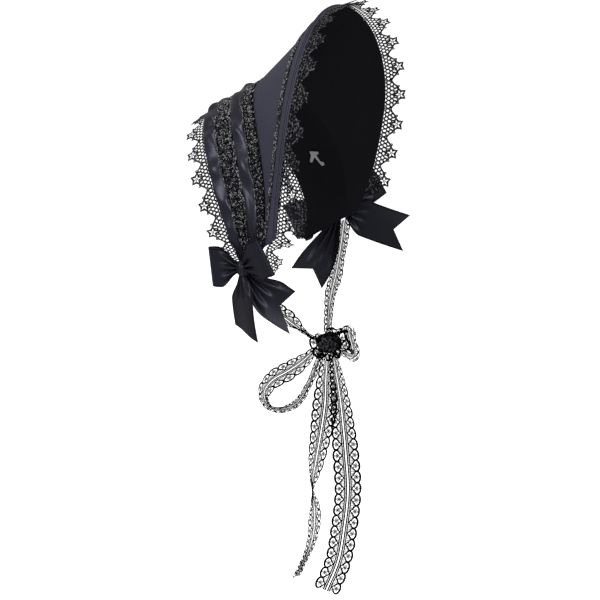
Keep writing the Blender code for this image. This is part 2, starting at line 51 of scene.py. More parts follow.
SHARP_ANGLE = 60
BODY = "root"
log = logging.getLogger("bonnet")


class Held(Enum):
    """Ways in which a piece of cloth is held."""

    GATHERED = "gathered"
    STRETCHED = "stretched"
    FOLDED = "folded"
    HUNG = "hung"


class Slot(Enum):
    """Material slots of the record."""

    SATIN = "satin"
    BRIM_CLOTH = "brim_cloth"
    LINING = "lining"
    LACE = "lace"
    TIE_LACE = "tie_lace"
    METAL = "metal"


def unit(vectors: Array) -> Array:
    """Scales vectors to length one."""
    return vectors / np.linalg.norm(vectors, axis=-1, keepdims=True)


def grid_normals(grid: Array) -> Array:
    """Normals of a grid of points, from the directions along its rows and columns."""
    return unit(np.cross(np.gradient(grid, axis=0), np.gradient(grid, axis=1)))


def smooth_step(value: Array) -> Array:
    """Eases a value between 0 and 1."""
    value = np.clip(value, 0, 1)
    return value * value * (3 - 2 * value)


def smooth_rows(rows: Array, shares: Array) -> Array:
    """Reads rows of values at shares of their length, on a smooth curve through them.

    Args:
        rows: One row of values for each place; the first three are its point.
        shares: Places to read, from 0 at the first row to 1 at the last.

    Returns:
        One row of values for each share.
    """
    steps = np.linalg.norm(np.diff(rows[:, :3], axis=0), axis=1)
    knots = np.concatenate([[0], np.cumsum(steps)]) / steps.sum()
    slopes = np.gradient(rows, knots, axis=0)
    i = np.clip(np.searchsorted(knots, shares, side="right") - 1, 0, len(knots) - 2)
    span = (knots[i + 1] - knots[i])[:, None]
    t = (np.asarray(shares)[:, None] - knots[i][:, None]) / span
    return ((1 + 2 * t) * (1 - t) ** 2 * rows[i] + t * (1 - t) ** 2 * span * slopes[i]
            + t * t * (3 - 2 * t) * rows[i + 1] - t * t * (1 - t) * span * slopes[i + 1])


@dataclass
class Arch:
    """Half an ellipse down to the widest place and another below it, hung from its top."""

    y: float
    z: float
    half_width: float
    top: float
    low: float
    lean: float
    sweep: float
    end: float
    samples: int = 400
    overrun: float = 20

    def __post_init__(self) -> None:
        """Works out the length along the arch at sampled angles."""
        end = math.radians(self.end)
        self.angles = np.linspace(0, end + math.radians(self.overrun), self.samples)
        steps = np.linalg.norm(np.diff(self.point(self.angles), axis=0), axis=1)
        lengths = np.concatenate([[0], np.cumsum(steps)])
        self.half_length = float(np.interp(end, self.angles, lengths))
        self.shares = lengths / self.half_length

    def point(self, theta: Array) -> Array:
        """A point of the arch.

        Args:
            theta: Angle from the top, in radians.

        Returns:
            The point.
        """
        semi = np.where(np.abs(theta) < np.pi / 2, self.top, self.low)
        down = self.top - semi * np.cos(theta)
        lean = math.radians(self.lean)
        return np.stack([self.half_width * np.sin(theta),
                         self.y - down * math.sin(lean) + self.sweep * np.sin(theta) ** 2,
                         self.z - down * math.cos(lean)], axis=-1)

    def at(self, along: Array) -> Array:
        """A point at a share of the half length, from -1 to 1."""
        along = np.asarray(along, dtype=float)
        return self.point(np.sign(along) * np.interp(np.abs(along), self.shares, self.angles))


@dataclass
class BonnetForm:
    """Outer face of the crown and brim, from three arches."""

    back: Arch = field(default_factory=lambda: Arch(
        y=25, z=-9, half_width=98, top=105, low=72, lean=20, sweep=-16, end=129))
    seam: Arch = field(default_factory=lambda: Arch(
        y=-24, z=18, half_width=101, top=132, low=60, lean=-4, sweep=-56, end=108))
    front: Arch = field(default_factory=lambda: Arch(
        y=-102, z=92, half_width=125, top=117, low=190, lean=-8, sweep=-15, end=121))
    edge_lift: float = -1.4

    def skin(self, across: Array, along: Array) -> Array:
        """A point on the outer face.

        Args:
            across: Place across: 0 at the back, 1 at the seam and 2 at the front.
            along: Place along, from -1 at the right corner to 1 at the left one.

        Returns:
            The point.
        """
        across = np.asarray(across, dtype=float)[..., None]
        seam = self.seam.at(along)
        crown = self.back.at(along) * (1 - across) + seam * across
        brim = seam * (2 - across) + self.front.at(along) * (across - 1)
        return np.where(across <= 1, crown, brim)

    def normal(self, across: Array, along: Array) -> Array:
        """Outward normal, rounded over at the seam.

        Args:
            across: Place across the bonnet.
            along: Place along it.

        Returns:
            The normal, of length one.
        """
        across, along = np.broadcast_arrays(np.asarray(across, float), np.asarray(along, float))
        forward = self.skin(across + 0.04, along) - self.skin(across - 0.04, along)
        sideways = self.skin(across, along + 0.01) - self.skin(across, along - 0.01)
        return unit(np.cross(forward, sideways))

    def lifted(self, across: Array, along: Array, lift: Array) -> Array:
        """A point above or below the outer face."""
        lift = np.asarray(lift, dtype=float)[..., None]
        return self.skin(across, along) + self.normal(across, along) * lift

    def from_front(self, along: Array, distance: Array) -> Array:
        """Place across the brim that lies a distance in from its front edge."""
        width = np.linalg.norm(self.front.at(along) - self.seam.at(along), axis=-1)
        return 2 - distance / width

    def edge_frame(self, across: float, outward: int, along: Array, turn: Array
                   ) -> tuple[Array, Array, Array, Array]:
        """Edge points with the directions out of the edge and off the sheet of its lace.

        Args:
            across: 0 for the back edge and 2 for the front edge.
            outward: Sign of the way across that leads off the edge.
            along: Places along the edge.
            turn: Angle by which the lace turns inward from the panel, at each place.

        Returns:
            Points, directions off the edge in the panel's face, directions over the turned
            lace, and its normals.
        """
        base = self.lifted(across, along, self.edge_lift)
        tangent = unit(self.skin(across, along + 0.01) - self.skin(across, along - 0.01))
        away = self.skin(across + 0.02, along) - self.skin(across - 0.02, along)
        away = unit(outward * (away - tangent * np.sum(away * tangent, axis=-1, keepdims=True)))
        normal = self.normal(across, along)
        normal = unit(normal - away * np.sum(normal * away, axis=-1, keepdims=True))
        angle = np.radians(turn)[:, None]
        return (base, away, away * np.cos(angle) - normal * np.sin(angle),
                normal * np.cos(angle) + away * np.sin(angle))


def new_object(name: str, mesh: bpy.types.Mesh) -> bpy.types.Object:
    """Puts a mesh in the scene.

    Args:
        name: Name of the object.
        mesh: Its mesh.

    Returns:
        The object.
    """
    made = bpy.data.objects.new(name, mesh)
    bpy.context.collection.objects.link(made)
    return made


def grid_quads(rows: int, columns: int, closed: bool = False) -> tuple[Array, Array]:
    """Numbers the points of a grid and joins them by quads.

    Args:
        rows: Rows of points.
        columns: Columns of points.
        closed: Whether the last column is joined to the first one.

    Returns:
        The points' numbers in rows and columns, and the corners of each quad.
    """
    index = np.arange(rows * columns).reshape(rows, columns)
    if closed:
        index = np.concatenate([index, index[:, :1]], axis=1)
    quads = np.stack([index[:-1, :-1], index[1:, :-1], index[1:, 1:], index[:-1, 1:]], axis=-1)
    return index, quads.reshape(-1, 4)


def grid_area(grid: Array) -> float:
    """Area of a grid's surface, in square millimetres."""
    sides = np.cross(np.diff(grid, axis=0)[:, 1:], np.diff(grid, axis=1)[1:])
    return float(np.linalg.norm(sides, axis=-1).sum())


def mesh_from(name: str, points: Array, faces: Array | list, flat: Array | None = None
              ) -> bpy.types.Mesh:
    """Makes a mesh from millimetre points.

    Args:
        name: Name of the mesh.
        points: Places in millimetres.
        faces: Corners of each face.
        flat: Place of each point on the cut cloth in millimetres, kept as the UV map.

    Returns:
        The mesh, shaded smooth.
    """
    mesh = bpy.data.meshes.new(name)
    corners = faces if isinstance(faces, list) else faces.tolist()
    mesh.from_pydata((points * MM).tolist(), [], corners)
    mesh.update()
    if flat is not None:
        layer = mesh.uv_layers.new(name="cloth")
        used = np.empty(len(mesh.loops), dtype=np.int32)
        mesh.loops.foreach_get("vertex_index", used)
        layer.data.foreach_set("uv", (flat[used] * MM).astype(np.float32).ravel())
    mesh.shade_smooth()
    return mesh


def lump_mesh(name: str, grid: Array, turned: bool) -> bpy.types.Mesh:
    """Makes a closed lump from rings of points, with one point in the middle of each end.

    Args:
        name: Name of the mesh.
        grid: The rings, in rows and columns.
        turned: Whether the faces have to be turned to look outward.

    Returns:
        The mesh.
    """
    rows, columns = grid.shape[:2]
    index, quads = grid_quads(rows, columns, closed=True)
    points = np.concatenate([grid.reshape(-1, 3), grid[:1].mean(axis=1), grid[-1:].mean(axis=1)])
    first, last = rows * columns, rows * columns + 1
    faces = quads.tolist()
    faces += [[index[0, i], index[0, i + 1], first] for i in range(columns)]
    faces += [[index[-1, i + 1], index[-1, i], last] for i in range(columns)]
    if turned:
        faces = [face[::-1] for face in faces]
    return mesh_from(name, points, faces, points[:, [2, 1]])


def thick_sheet(name: str, grid: Array, thickness: float, width: float | None = None
                ) -> bpy.types.Object:
    """A closed sheet of even thickness whose middle is the grid.

    Args:
        name: Name of the object.
        grid: Points in rows and columns, in millimetres.
        thickness: Distance between its two faces.
        width: Cut width over the columns, where it is drawn together in places.

    Returns:
        The object, with a UV map of its flat cloth.
    """
    off = grid_normals(grid) * thickness / 2
    rows, columns = grid.shape[:2]
    points = np.concatenate([(grid + off).reshape(-1, 3), (grid - off).reshape(-1, 3)])
    index, quads = grid_quads(rows, columns)
    under = rows * columns
    rims = [index[0, ::-1], index[-1], index[:, 0], index[::-1, -1]]
    sides = [np.stack([rim[1:], rim[:-1], rim[:-1] + under, rim[1:] + under], axis=-1)
             for rim in rims]
    along = np.linalg.norm(np.diff(grid, axis=0), axis=-1).mean(axis=1)
    over = np.linalg.norm(np.diff(grid, axis=1), axis=-1).mean(axis=0)
    if width is not None:
        over = over * width / over.sum()
    flat = np.stack(np.meshgrid(np.concatenate([[0], np.cumsum(along)]),
                                np.concatenate([[0], np.cumsum(over)]), indexing="ij"), axis=-1)
    flat = np.concatenate([flat.reshape(-1, 2)] * 2)
    mesh = mesh_from(name, points, np.concatenate([quads, quads[:, ::-1] + under, *sides]), flat)
    mesh.set_sharp_from_angle(angle=math.radians(SHARP_ANGLE))
    return new_object(name, mesh)


def add_node(tree: bpy.types.NodeTree, kind: str, inputs: dict[int | str, object] | None = None,
             **settings: object) -> bpy.types.Node:
    """Adds a node to a shader or geometry node tree.

    Args:
        tree: The tree.
        kind: Type of the node.
        inputs: For each input, the socket to link or the value to set.
        settings: Values of the node's own properties.

    Returns:
        The node.
    """
    node = tree.nodes.new(kind)
    for name, value in settings.items():
        setattr(node, name, value)
    for place, value in (inputs or {}).items():
        if isinstance(value, bpy.types.NodeSocket):
            tree.links.new(value, node.inputs[place])
        else:
            node.inputs[place].default_value = value
    return node


class NodeBook:
    """Shader node groups that more than one material uses, each made once."""

    @staticmethod
    def group(name: str, inputs: dict[str, float | None], outputs: Sequence[str]
              ) -> tuple[bpy.types.NodeTree, bpy.types.Node, bpy.types.Node, bool]:
        """Finds or starts a node group.

        Args:
            name: Name of the group.
            inputs: Named inputs with their values, or None for a vector.
            outputs: Named value outputs.

        Returns:
            The group, its input and output nodes, and whether it is new.
        """
        found = bpy.data.node_groups.get(name)
        if found:
            return found, found.nodes["in"], found.nodes["out"], False
        tree = bpy.data.node_groups.new(name, "ShaderNodeTree")
        for label, value in inputs.items():
            kind = "NodeSocketVector" if value is None else "NodeSocketFloat"
            socket = tree.interface.new_socket(label, in_out="INPUT", socket_type=kind)
            if value is not None:
                socket.default_value = value
        for label in outputs:
            tree.interface.new_socket(label, in_out="OUTPUT", socket_type="NodeSocketFloat")
        return (tree, add_node(tree, "NodeGroupInput", name="in"),
                add_node(tree, "NodeGroupOutput", name="out"), True)

    @staticmethod
    def use(tree: bpy.types.NodeTree, group: bpy.types.NodeTree,
            inputs: dict[int | str, object]) -> bpy.types.Node:
        """Adds a node group to a tree, with its inputs linked or set."""
        return add_node(tree, "ShaderNodeGroup", inputs, node_tree=group)

    @staticmethod
    def math(tree: bpy.types.NodeTree, operation: str, *values: object) -> bpy.types.NodeSocket:
        """Adds a math node whose inputs are sockets or numbers, and returns its output."""
        node = add_node(tree, "ShaderNodeMath", dict(enumerate(values)), operation=operation)
        return node.outputs[0]

    @staticmethod
    def mix(tree: bpy.types.NodeTree, mask: bpy.types.NodeSocket, low: object, high: object
            ) -> bpy.types.NodeSocket:
        """Mixes two colours, from the first where a mask is 0 to the second where it is 1."""
        node = add_node(tree, "ShaderNodeMix", {"Factor": mask, "A": low, "B": high},
                        data_type="RGBA")
        return node.outputs["Result"]

    @staticmethod
    def noise(tree: bpy.types.NodeTree, place: bpy.types.NodeSocket,
              scale: bpy.types.NodeSocket, detail: float) -> bpy.types.NodeSocket:
        """Adds a noise texture and returns its value."""
        node = add_node(tree, "ShaderNodeTexNoise",
                        {"Vector": place, "Scale": scale, "Detail": detail})
        return node.outputs["Fac"]

    @classmethod
    def weave(cls) -> bpy.types.NodeTree:
        """Crossing threads on the flat cloth, as a height.

        Returns:
            The node group.
        """
        tree, start, end, fresh = cls.group(
            "weave", {"Flat": None, "Warp": 2000.0, "Weft": 2000.0}, ["Height"])
        if fresh:
            split = add_node(tree, "ShaderNodeSeparateXYZ", {0: start.outputs["Flat"]})
            waves = []
            for axis, label in enumerate(("Warp", "Weft")):
                turns = cls.math(tree, "MULTIPLY", split.outputs[axis], start.outputs[label])
                waves.append(cls.math(tree, "SINE", cls.math(tree, "MULTIPLY", turns, math.tau)))
            crossing = cls.math(tree, "MULTIPLY", *waves)
            tree.links.new(cls.math(tree, "MULTIPLY_ADD", crossing, 0.5, 0.5),
                           end.inputs["Height"])
        return tree

    @classmethod
    def mottle(cls) -> bpy.types.NodeTree:
        """Slow changes over the piece at two scales, as a value from 0 to 1.

        Returns:
            The node group.
        """
        tree, start, end, fresh = cls.group(
            "mottle", {"Place": None, "Broad": 30.0, "Fine": 700.0}, ["Slow", "Fine"])
        if fresh:
            for label, source in (("Slow", "Broad"), ("Fine", "Fine")):
                noise = cls.noise(tree, start.outputs["Place"], start.outputs[source], 3.0)
                tree.links.new(noise, end.inputs[label])
        return tree

    @classmethod
    def specks(cls) -> bpy.types.NodeTree:
        """Small spots of painted highlight where a thread's turns catch the light, as a mask.

        Returns:
            The node group.
        """
        tree, start, end, fresh = cls.group("specks", {"Place": None, "Size": 520.0}, ["Mask"])
        if fresh:
            noise = cls.noise(tree, start.outputs["Place"], start.outputs["Size"], 1.0)
            steepness, drop = 9.0, -4.6
            rise = cls.math(tree, "MULTIPLY_ADD", noise, steepness, drop)
            rise.node.use_clamp = True
            tree.links.new(rise, end.inputs["Mask"])
        return tree

    @classmethod
    def selvedge(cls) -> bpy.types.NodeTree:
        """Thin woven line a little in from both sides of a ribbon, as a mask.

        Returns:
            The node group.
        """
        tree, start, end, fresh = cls.group(
            "selvedge", {"Flat": None, "Width": 0.038, "Inset": 0.0011, "Line": 0.0005},
            ["Mask"])
        if fresh:
            split = add_node(tree, "ShaderNodeSeparateXYZ", {0: start.outputs["Flat"]})
            width = start.outputs["Width"]
            centred = cls.math(tree, "MULTIPLY_ADD", width, -0.5, split.outputs["Y"])
            side = cls.math(tree, "SUBTRACT", cls.math(tree, "MULTIPLY", width, 0.5),
                            cls.math(tree, "ABSOLUTE", centred))
            inward = cls.math(tree, "SUBTRACT", side, start.outputs["Inset"])
            mask = cls.math(tree, "LESS_THAN", cls.math(tree, "ABSOLUTE", inward),
                            start.outputs["Line"])
            tree.links.new(mask, end.inputs["Mask"])
        return tree


Colour = tuple[float, float, float]


@dataclass(frozen=True)
class ClothFinish:
    """A woven cloth, thread or metal: its two colours, gloss and threads."""

    name: str
    dark: Colour
    light: Colour
    roughness: float
    specular: float
    rough_range: float = 0.2
    warp: float = 2500
    weft: float = 2500
    weave_depth: float = 0.0
    crumple_depth: float = 0.1
    metallic: float = 0.0
    # Brightness of the painted highlights on the thread crests, 0 for none.
    specks: float = 0.0
    ribbon: float = 0.0
    selvedge: Colour = (0.001, 0.001, 0.0014)
    gloss: Colour = (1.0, 1.0, 1.0)

    def build(self) -> bpy.types.Material:
        """Makes the material, or returns it if it is there.

        Returns:
            The material.
        """
        found = bpy.data.materials.get(self.name)
        if found:
            return found
        made = bpy.data.materials.new(self.name)
        made.use_nodes = True
        tree = made.node_tree
        shader = tree.nodes["Principled BSDF"]
        shader.inputs["Specular IOR Level"].default_value = self.specular
        shader.inputs["Metallic"].default_value = self.metallic
        shader.inputs["Specular Tint"].default_value = (*self.gloss, 1)
        place = add_node(tree, "ShaderNodeTexCoord").outputs["Object"]
        flat = add_node(tree, "ShaderNodeUVMap", uv_map="cloth").outputs["UV"]
        weave = NodeBook.use(tree, NodeBook.weave(),
                             {"Flat": flat, "Warp": self.warp, "Weft": self.weft})
        mottle = NodeBook.use(tree, NodeBook.mottle(), {"Place": place})
        slow, height = mottle.outputs["Slow"], weave.outputs["Height"]
        blend = NodeBook.math(tree, "MULTIPLY_ADD", height, 0.5,
                              NodeBook.math(tree, "MULTIPLY", slow, 0.5))
        colour = NodeBook.mix(tree, blend, (*self.dark, 1), (*self.light, 1))
        # Painted highlights: light specks mixed into the base colour stand in for glints where the
        # thread's turns catch the light.
        if self.specks:
            glint = NodeBook.use(tree, NodeBook.specks(), {"Place": place})
            lit = (self.specks, self.specks, self.specks * 1.1, 1)
            colour = NodeBook.mix(tree, glint.outputs["Mask"], colour, lit)
        if self.ribbon:
            edge = NodeBook.use(tree, NodeBook.selvedge(),
                                {"Flat": flat, "Width": self.ribbon * MM})
            colour = NodeBook.mix(tree, edge.outputs["Mask"], colour, (*self.selvedge, 1))
        tree.links.new(colour, shader.inputs["Base Color"])
        rough = NodeBook.math(tree, "MULTIPLY_ADD", mottle.outputs["Fine"], self.rough_range,
                              self.roughness - self.rough_range / 2)
        tree.links.new(rough, shader.inputs["Roughness"])
        relief = NodeBook.math(tree, "MULTIPLY_ADD", height, self.weave_depth * MM,
                               NodeBook.math(tree, "MULTIPLY", slow, self.crumple_depth * MM))
        bump = add_node(tree, "ShaderNodeBump", {"Distance": 1.0, "Height": relief})
        tree.links.new(bump.outputs["Normal"], shader.inputs["Normal"])
        return made


SATIN = ClothFinish(
    "black_satin", dark=(0.0035, 0.0035, 0.0055), light=(0.0065, 0.0065, 0.01), roughness=0.36,
    specular=0.23, warp=900, weft=3500, weave_depth=0.01, crumple_depth=0.5,
    gloss=(0.78, 0.78, 1.0))
# Bow satin: the same satin with woven lines near its sides. Its lower gloss and less blue tint are
# painted shade that darkens the bows.
SHADED_BOW_SATIN = replace(SATIN, name="black_bow_satin", specular=0.1, ribbon=38.0,
                    gloss=(0.86, 0.86, 1.0))
# Undercloth: black cloth made darker and duller than the satin, as painted shade in the gaps
# between the lace threads that lie on it.
SHADED_UNDERCLOTH = ClothFinish(
    "black_undercloth", dark=(0.0012, 0.0012, 0.0016), light=(0.0016, 0.0016, 0.0024),
    roughness=0.7, specular=0.03, warp=1500, weft=1500, weave_depth=0.02, crumple_depth=0.3)
BRIM = ClothFinish(
    "slate_cloth", dark=(0.0165, 0.0165, 0.027), light=(0.0255, 0.0255, 0.038), roughness=0.6,
    specular=0.1, warp=1600, weft=1600, weave_depth=0.01, crumple_depth=0.8)
LINING = ClothFinish(
    "black_lining", dark=(0.0015, 0.0014, 0.002), light=(0.0025, 0.0022, 0.003), roughness=0.75,
    specular=0.03, warp=1800, weft=1800, weave_depth=0.03, crumple_depth=0.6)
GUIPURE = ClothFinish(
    "guipure_thread", dark=(0.0015, 0.0015, 0.002), light=(0.003, 0.003, 0.004), roughness=0.5,
    specular=0.07, specks=0.05)
CORDED = ClothFinish(
    "corded_thread", dark=(0.003, 0.003, 0.0036), light=(0.007, 0.007, 0.0085), roughness=0.42,
    specular=0.2, specks=0.15)
TIE_THREAD = ClothFinish(
    "tie_thread", dark=(0.0008, 0.0008, 0.001), light=(0.0015, 0.0015, 0.002), roughness=0.6,
    specular=0.03)
KNOTTED = replace(TIE_THREAD, name="knotted_tie_lace", specks=0.03)
STEEL = ClothFinish(
    "clip_steel", dark=(0.4, 0.4, 0.42), light=(0.55, 0.55, 0.58), roughness=0.33, specular=0.5,
    warp=400, weft=6000, weave_depth=0.004, crumple_depth=0.2, metallic=1.0)


def set_finish(piece: bpy.types.Object, finish: ClothFinish) -> None:
    """Gives a piece one finish."""
    piece.data.materials.clear()
    piece.data.materials.append(finish.build())


def fit_piece(piece: bpy.types.Object, node: str | None) -> None:
    """Ties a piece to the body and hides the solid of the node that it stands for.

    Args:
        piece: The piece.
        node: Node that it stands for, or None where it comes on top of the solids.
    """
    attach(piece, BODY)
    if node:
        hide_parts(node)
    log.info("%s: %d faces, stands for %s", piece.name, len(piece.data.polygons), node)


def declare_cloth(piece: bpy.types.Object, width: float, length: float,
                  area: float | None = None) -> None:
    """Logs the share of its outline that a piece of cloth covers, where its area is given.

    Args:
        piece: The cloth.
        width: Cut width in millimetres.
        length: Cut length in millimetres.
        area: Area of the cut cloth in square millimetres, where it isn't the full width by
            length.
    """
    if area is not None:
        log.info("%s covers %.2f of its outline", piece.name, area / (width * length))
        area = area * MM * MM


@dataclass
class LaceCell:
    """One repeat of a flat lace, made of threads in millimetres."""

    name: str
    pitch: float
    height: float = 0.7
    threads: list[tuple[Array, float, bool]] = field(default_factory=list)

    def path(self, points: Sequence[tuple[float, float]], width: float, closed: bool = False
             ) -> None:
        """Adds a thread through points."""
        self.threads.append((np.array(points, dtype=float), width, closed))

    def ring(self, x: float, y: float, radius: float, width: float, sides: int = 9,
             stretch: float = 1.0) -> None:
        """Adds a round or oval ring.

        Args:
            x: Place of its middle along the lace.
            y: Place of its middle over the lace.
            radius: Half its breadth.
            width: Width of the thread.
            sides: Corners round it.
            stretch: Its length over its breadth.
        """
        angles = np.linspace(0, math.tau, sides, endpoint=False) + math.pi / 2
        points = np.stack([x + radius * np.cos(angles), y + radius * stretch * np.sin(angles)],
                          axis=1)
        self.threads.append((points, width, True))

    def arc(self, x: float, y: float, radius_x: float, radius_y: float, start: float,
            stop: float, width: float, steps: int = 7) -> None:
        """Adds part of an ellipse.

        Args:
            x: Place of its middle along the lace.
            y: Place of its middle over the lace.
            radius_x: Half its breadth.
            radius_y: Half its height.
            start: Angle at which it starts.
            stop: Angle at which it ends.
            width: Width of the thread.
            steps: Points along it.
        """
        angles = np.radians(np.linspace(start, stop, steps))
        points = np.stack([x + radius_x * np.cos(angles), y + radius_y * np.sin(angles)], axis=1)
        self.threads.append((points, width, False))

    def leaf(self, x: float, y: float, length: float, breadth: float, angle: float,
             width: float) -> None:
        """Adds the outline of a pointed leaf.

        Args:
            x: Place of its root along the lace.
            y: Place of its root over the lace.
            length: Length from root to point.
            breadth: Widest distance between its sides.
            angle: Angle at which it points.
            width: Width of the thread.
        """
        turn = math.radians(angle)
        shape = ((0, 0), (0.3, 0.42), (0.62, 0.5), (1, 0), (0.62, -0.5), (0.3, -0.42))
        points = [(x + a * length * math.cos(turn) - b * breadth * math.sin(turn),
                   y + a * length * math.sin(turn) + b * breadth * math.cos(turn))
                  for a, b in shape]
        self.path(points, width, closed=True)

    def star(self, x: float, y: float, tip: float, notch: float, width: float) -> None:
        """Adds the outline of a five-pointed star with one point down and two feet up.

        Args:
            x: Place of its middle along the lace.
            y: Place of its middle over the lace.
            tip: Distance of its points from the middle.
            notch: Distance of its notches from the middle.
            width: Width of the thread.
        """
        points = []
        for step in range(10):
            radius = notch if step % 2 else tip
            angle = math.radians(270 + 36 * step)
            points.append((x + radius * math.cos(angle), y + radius * math.sin(angle)))
        self.path(points, width, closed=True)

    def net(self, levels: Sequence[float], holes: int, rise: float, width: float,
            top: Callable[[float], float], shake: float = 0.35) -> None:
        """Adds a net with six-sided holes.

        Args:
            levels: Heights of its rows.
            holes: Holes along one repeat.
            rise: Half the height of the zigzags.
            width: Width of the threads.
            top: Height at each place along that the net doesn't pass.
            shake: Largest distance that a corner is moved out of its even place.
        """
        step = self.pitch / holes
        random = np.random.default_rng(holes)
        for number, level in enumerate(levels):
            sign = 1 if number % 2 == 0 else -1
            line: list[tuple[float, float]] = []
            for tick in range(2 * holes + 1):
                x = tick * step / 2
                if level <= top(x):
                    inner = 0 < tick < 2 * holes
                    aside, up = random.uniform(-shake, shake, 2) if inner else (0.0, 0.0)
                    line.append((x + aside, level + up + rise * sign * (1 - 2 * (tick % 2))))
                else:
                    if len(line) > 1:
                        self.path(line, width)
                    line = []
                last = number + 1 == len(levels)
                if not last and tick % 2 == (0 if sign > 0 else 1) and tick < 2 * holes:
                    above = levels[number + 1]
                    if above <= top(x):
                        self.path([(x, level + rise), (x, (level + above) / 2),
                                   (x, above - rise)], width)
            if len(line) > 1:
                self.path(line, width)

    def area(self, repeats: int) -> float:
        """Area of cloth in a number of flat repeats, in square millimetres.

        Args:
            repeats: How many repeats the lace has.

        Returns:
            Half the threads' surface, as each thread has two faces.
        """
        total = 0.0
        for line, width, closed in self.threads:
            ends = np.vstack([line, line[:1]]) if closed else line
            length = float(np.linalg.norm(np.diff(ends, axis=0), axis=1).sum())
            rise = self.height / 2 * min(1.0, width)
            total += length * 2 * math.hypot(width / 2, rise)
        return total * repeats

    def build(self) -> bpy.types.Object:
        """Makes the cell's mesh: each thread is a tube with four sides.

        Returns:
            A hidden helper object.
        """
        points: list[Array] = []
        faces: list[Array] = []
        count = 0
        for line, width, closed in self.threads:
            before = np.roll(line, 1, axis=0) if closed else np.vstack([line[:1], line[:-1]])
            after = np.roll(line, -1, axis=0) if closed else np.vstack([line[1:], line[-1:]])
            run = unit(after - before)
            side = np.stack([-run[:, 1], run[:, 0]], axis=1) * width / 2
            rise = self.height / 2 * min(1.0, width)
            ring = np.stack([np.column_stack([line + side, np.zeros(len(line))]),
                             np.column_stack([line, np.full(len(line), rise)]),
                             np.column_stack([line - side, np.zeros(len(line))]),
                             np.column_stack([line, np.full(len(line), -rise)])], axis=1)
            points.append(ring.reshape(-1, 3))
            number = len(line)
            last = number if closed else number - 1
            for step in range(last):
                here = count + 4 * step
                there = count + 4 * ((step + 1) % number)
                for corner in range(4):
                    turn = (corner + 1) % 4
                    faces.append(np.array([here + corner, here + turn, there + turn,
                                           there + corner])[::-1])
            if not closed:
                end = count + 4 * (number - 1)
                faces.append(np.array([count, count + 1, count + 2, count + 3]))
                faces.append(np.array([end + 3, end + 2, end + 1, end]))
            count += 4 * number
        mesh = mesh_from(self.name, np.concatenate(points), np.array(faces))
        helper = new_object(self.name, mesh)
        helper.hide_render = True
        return helper


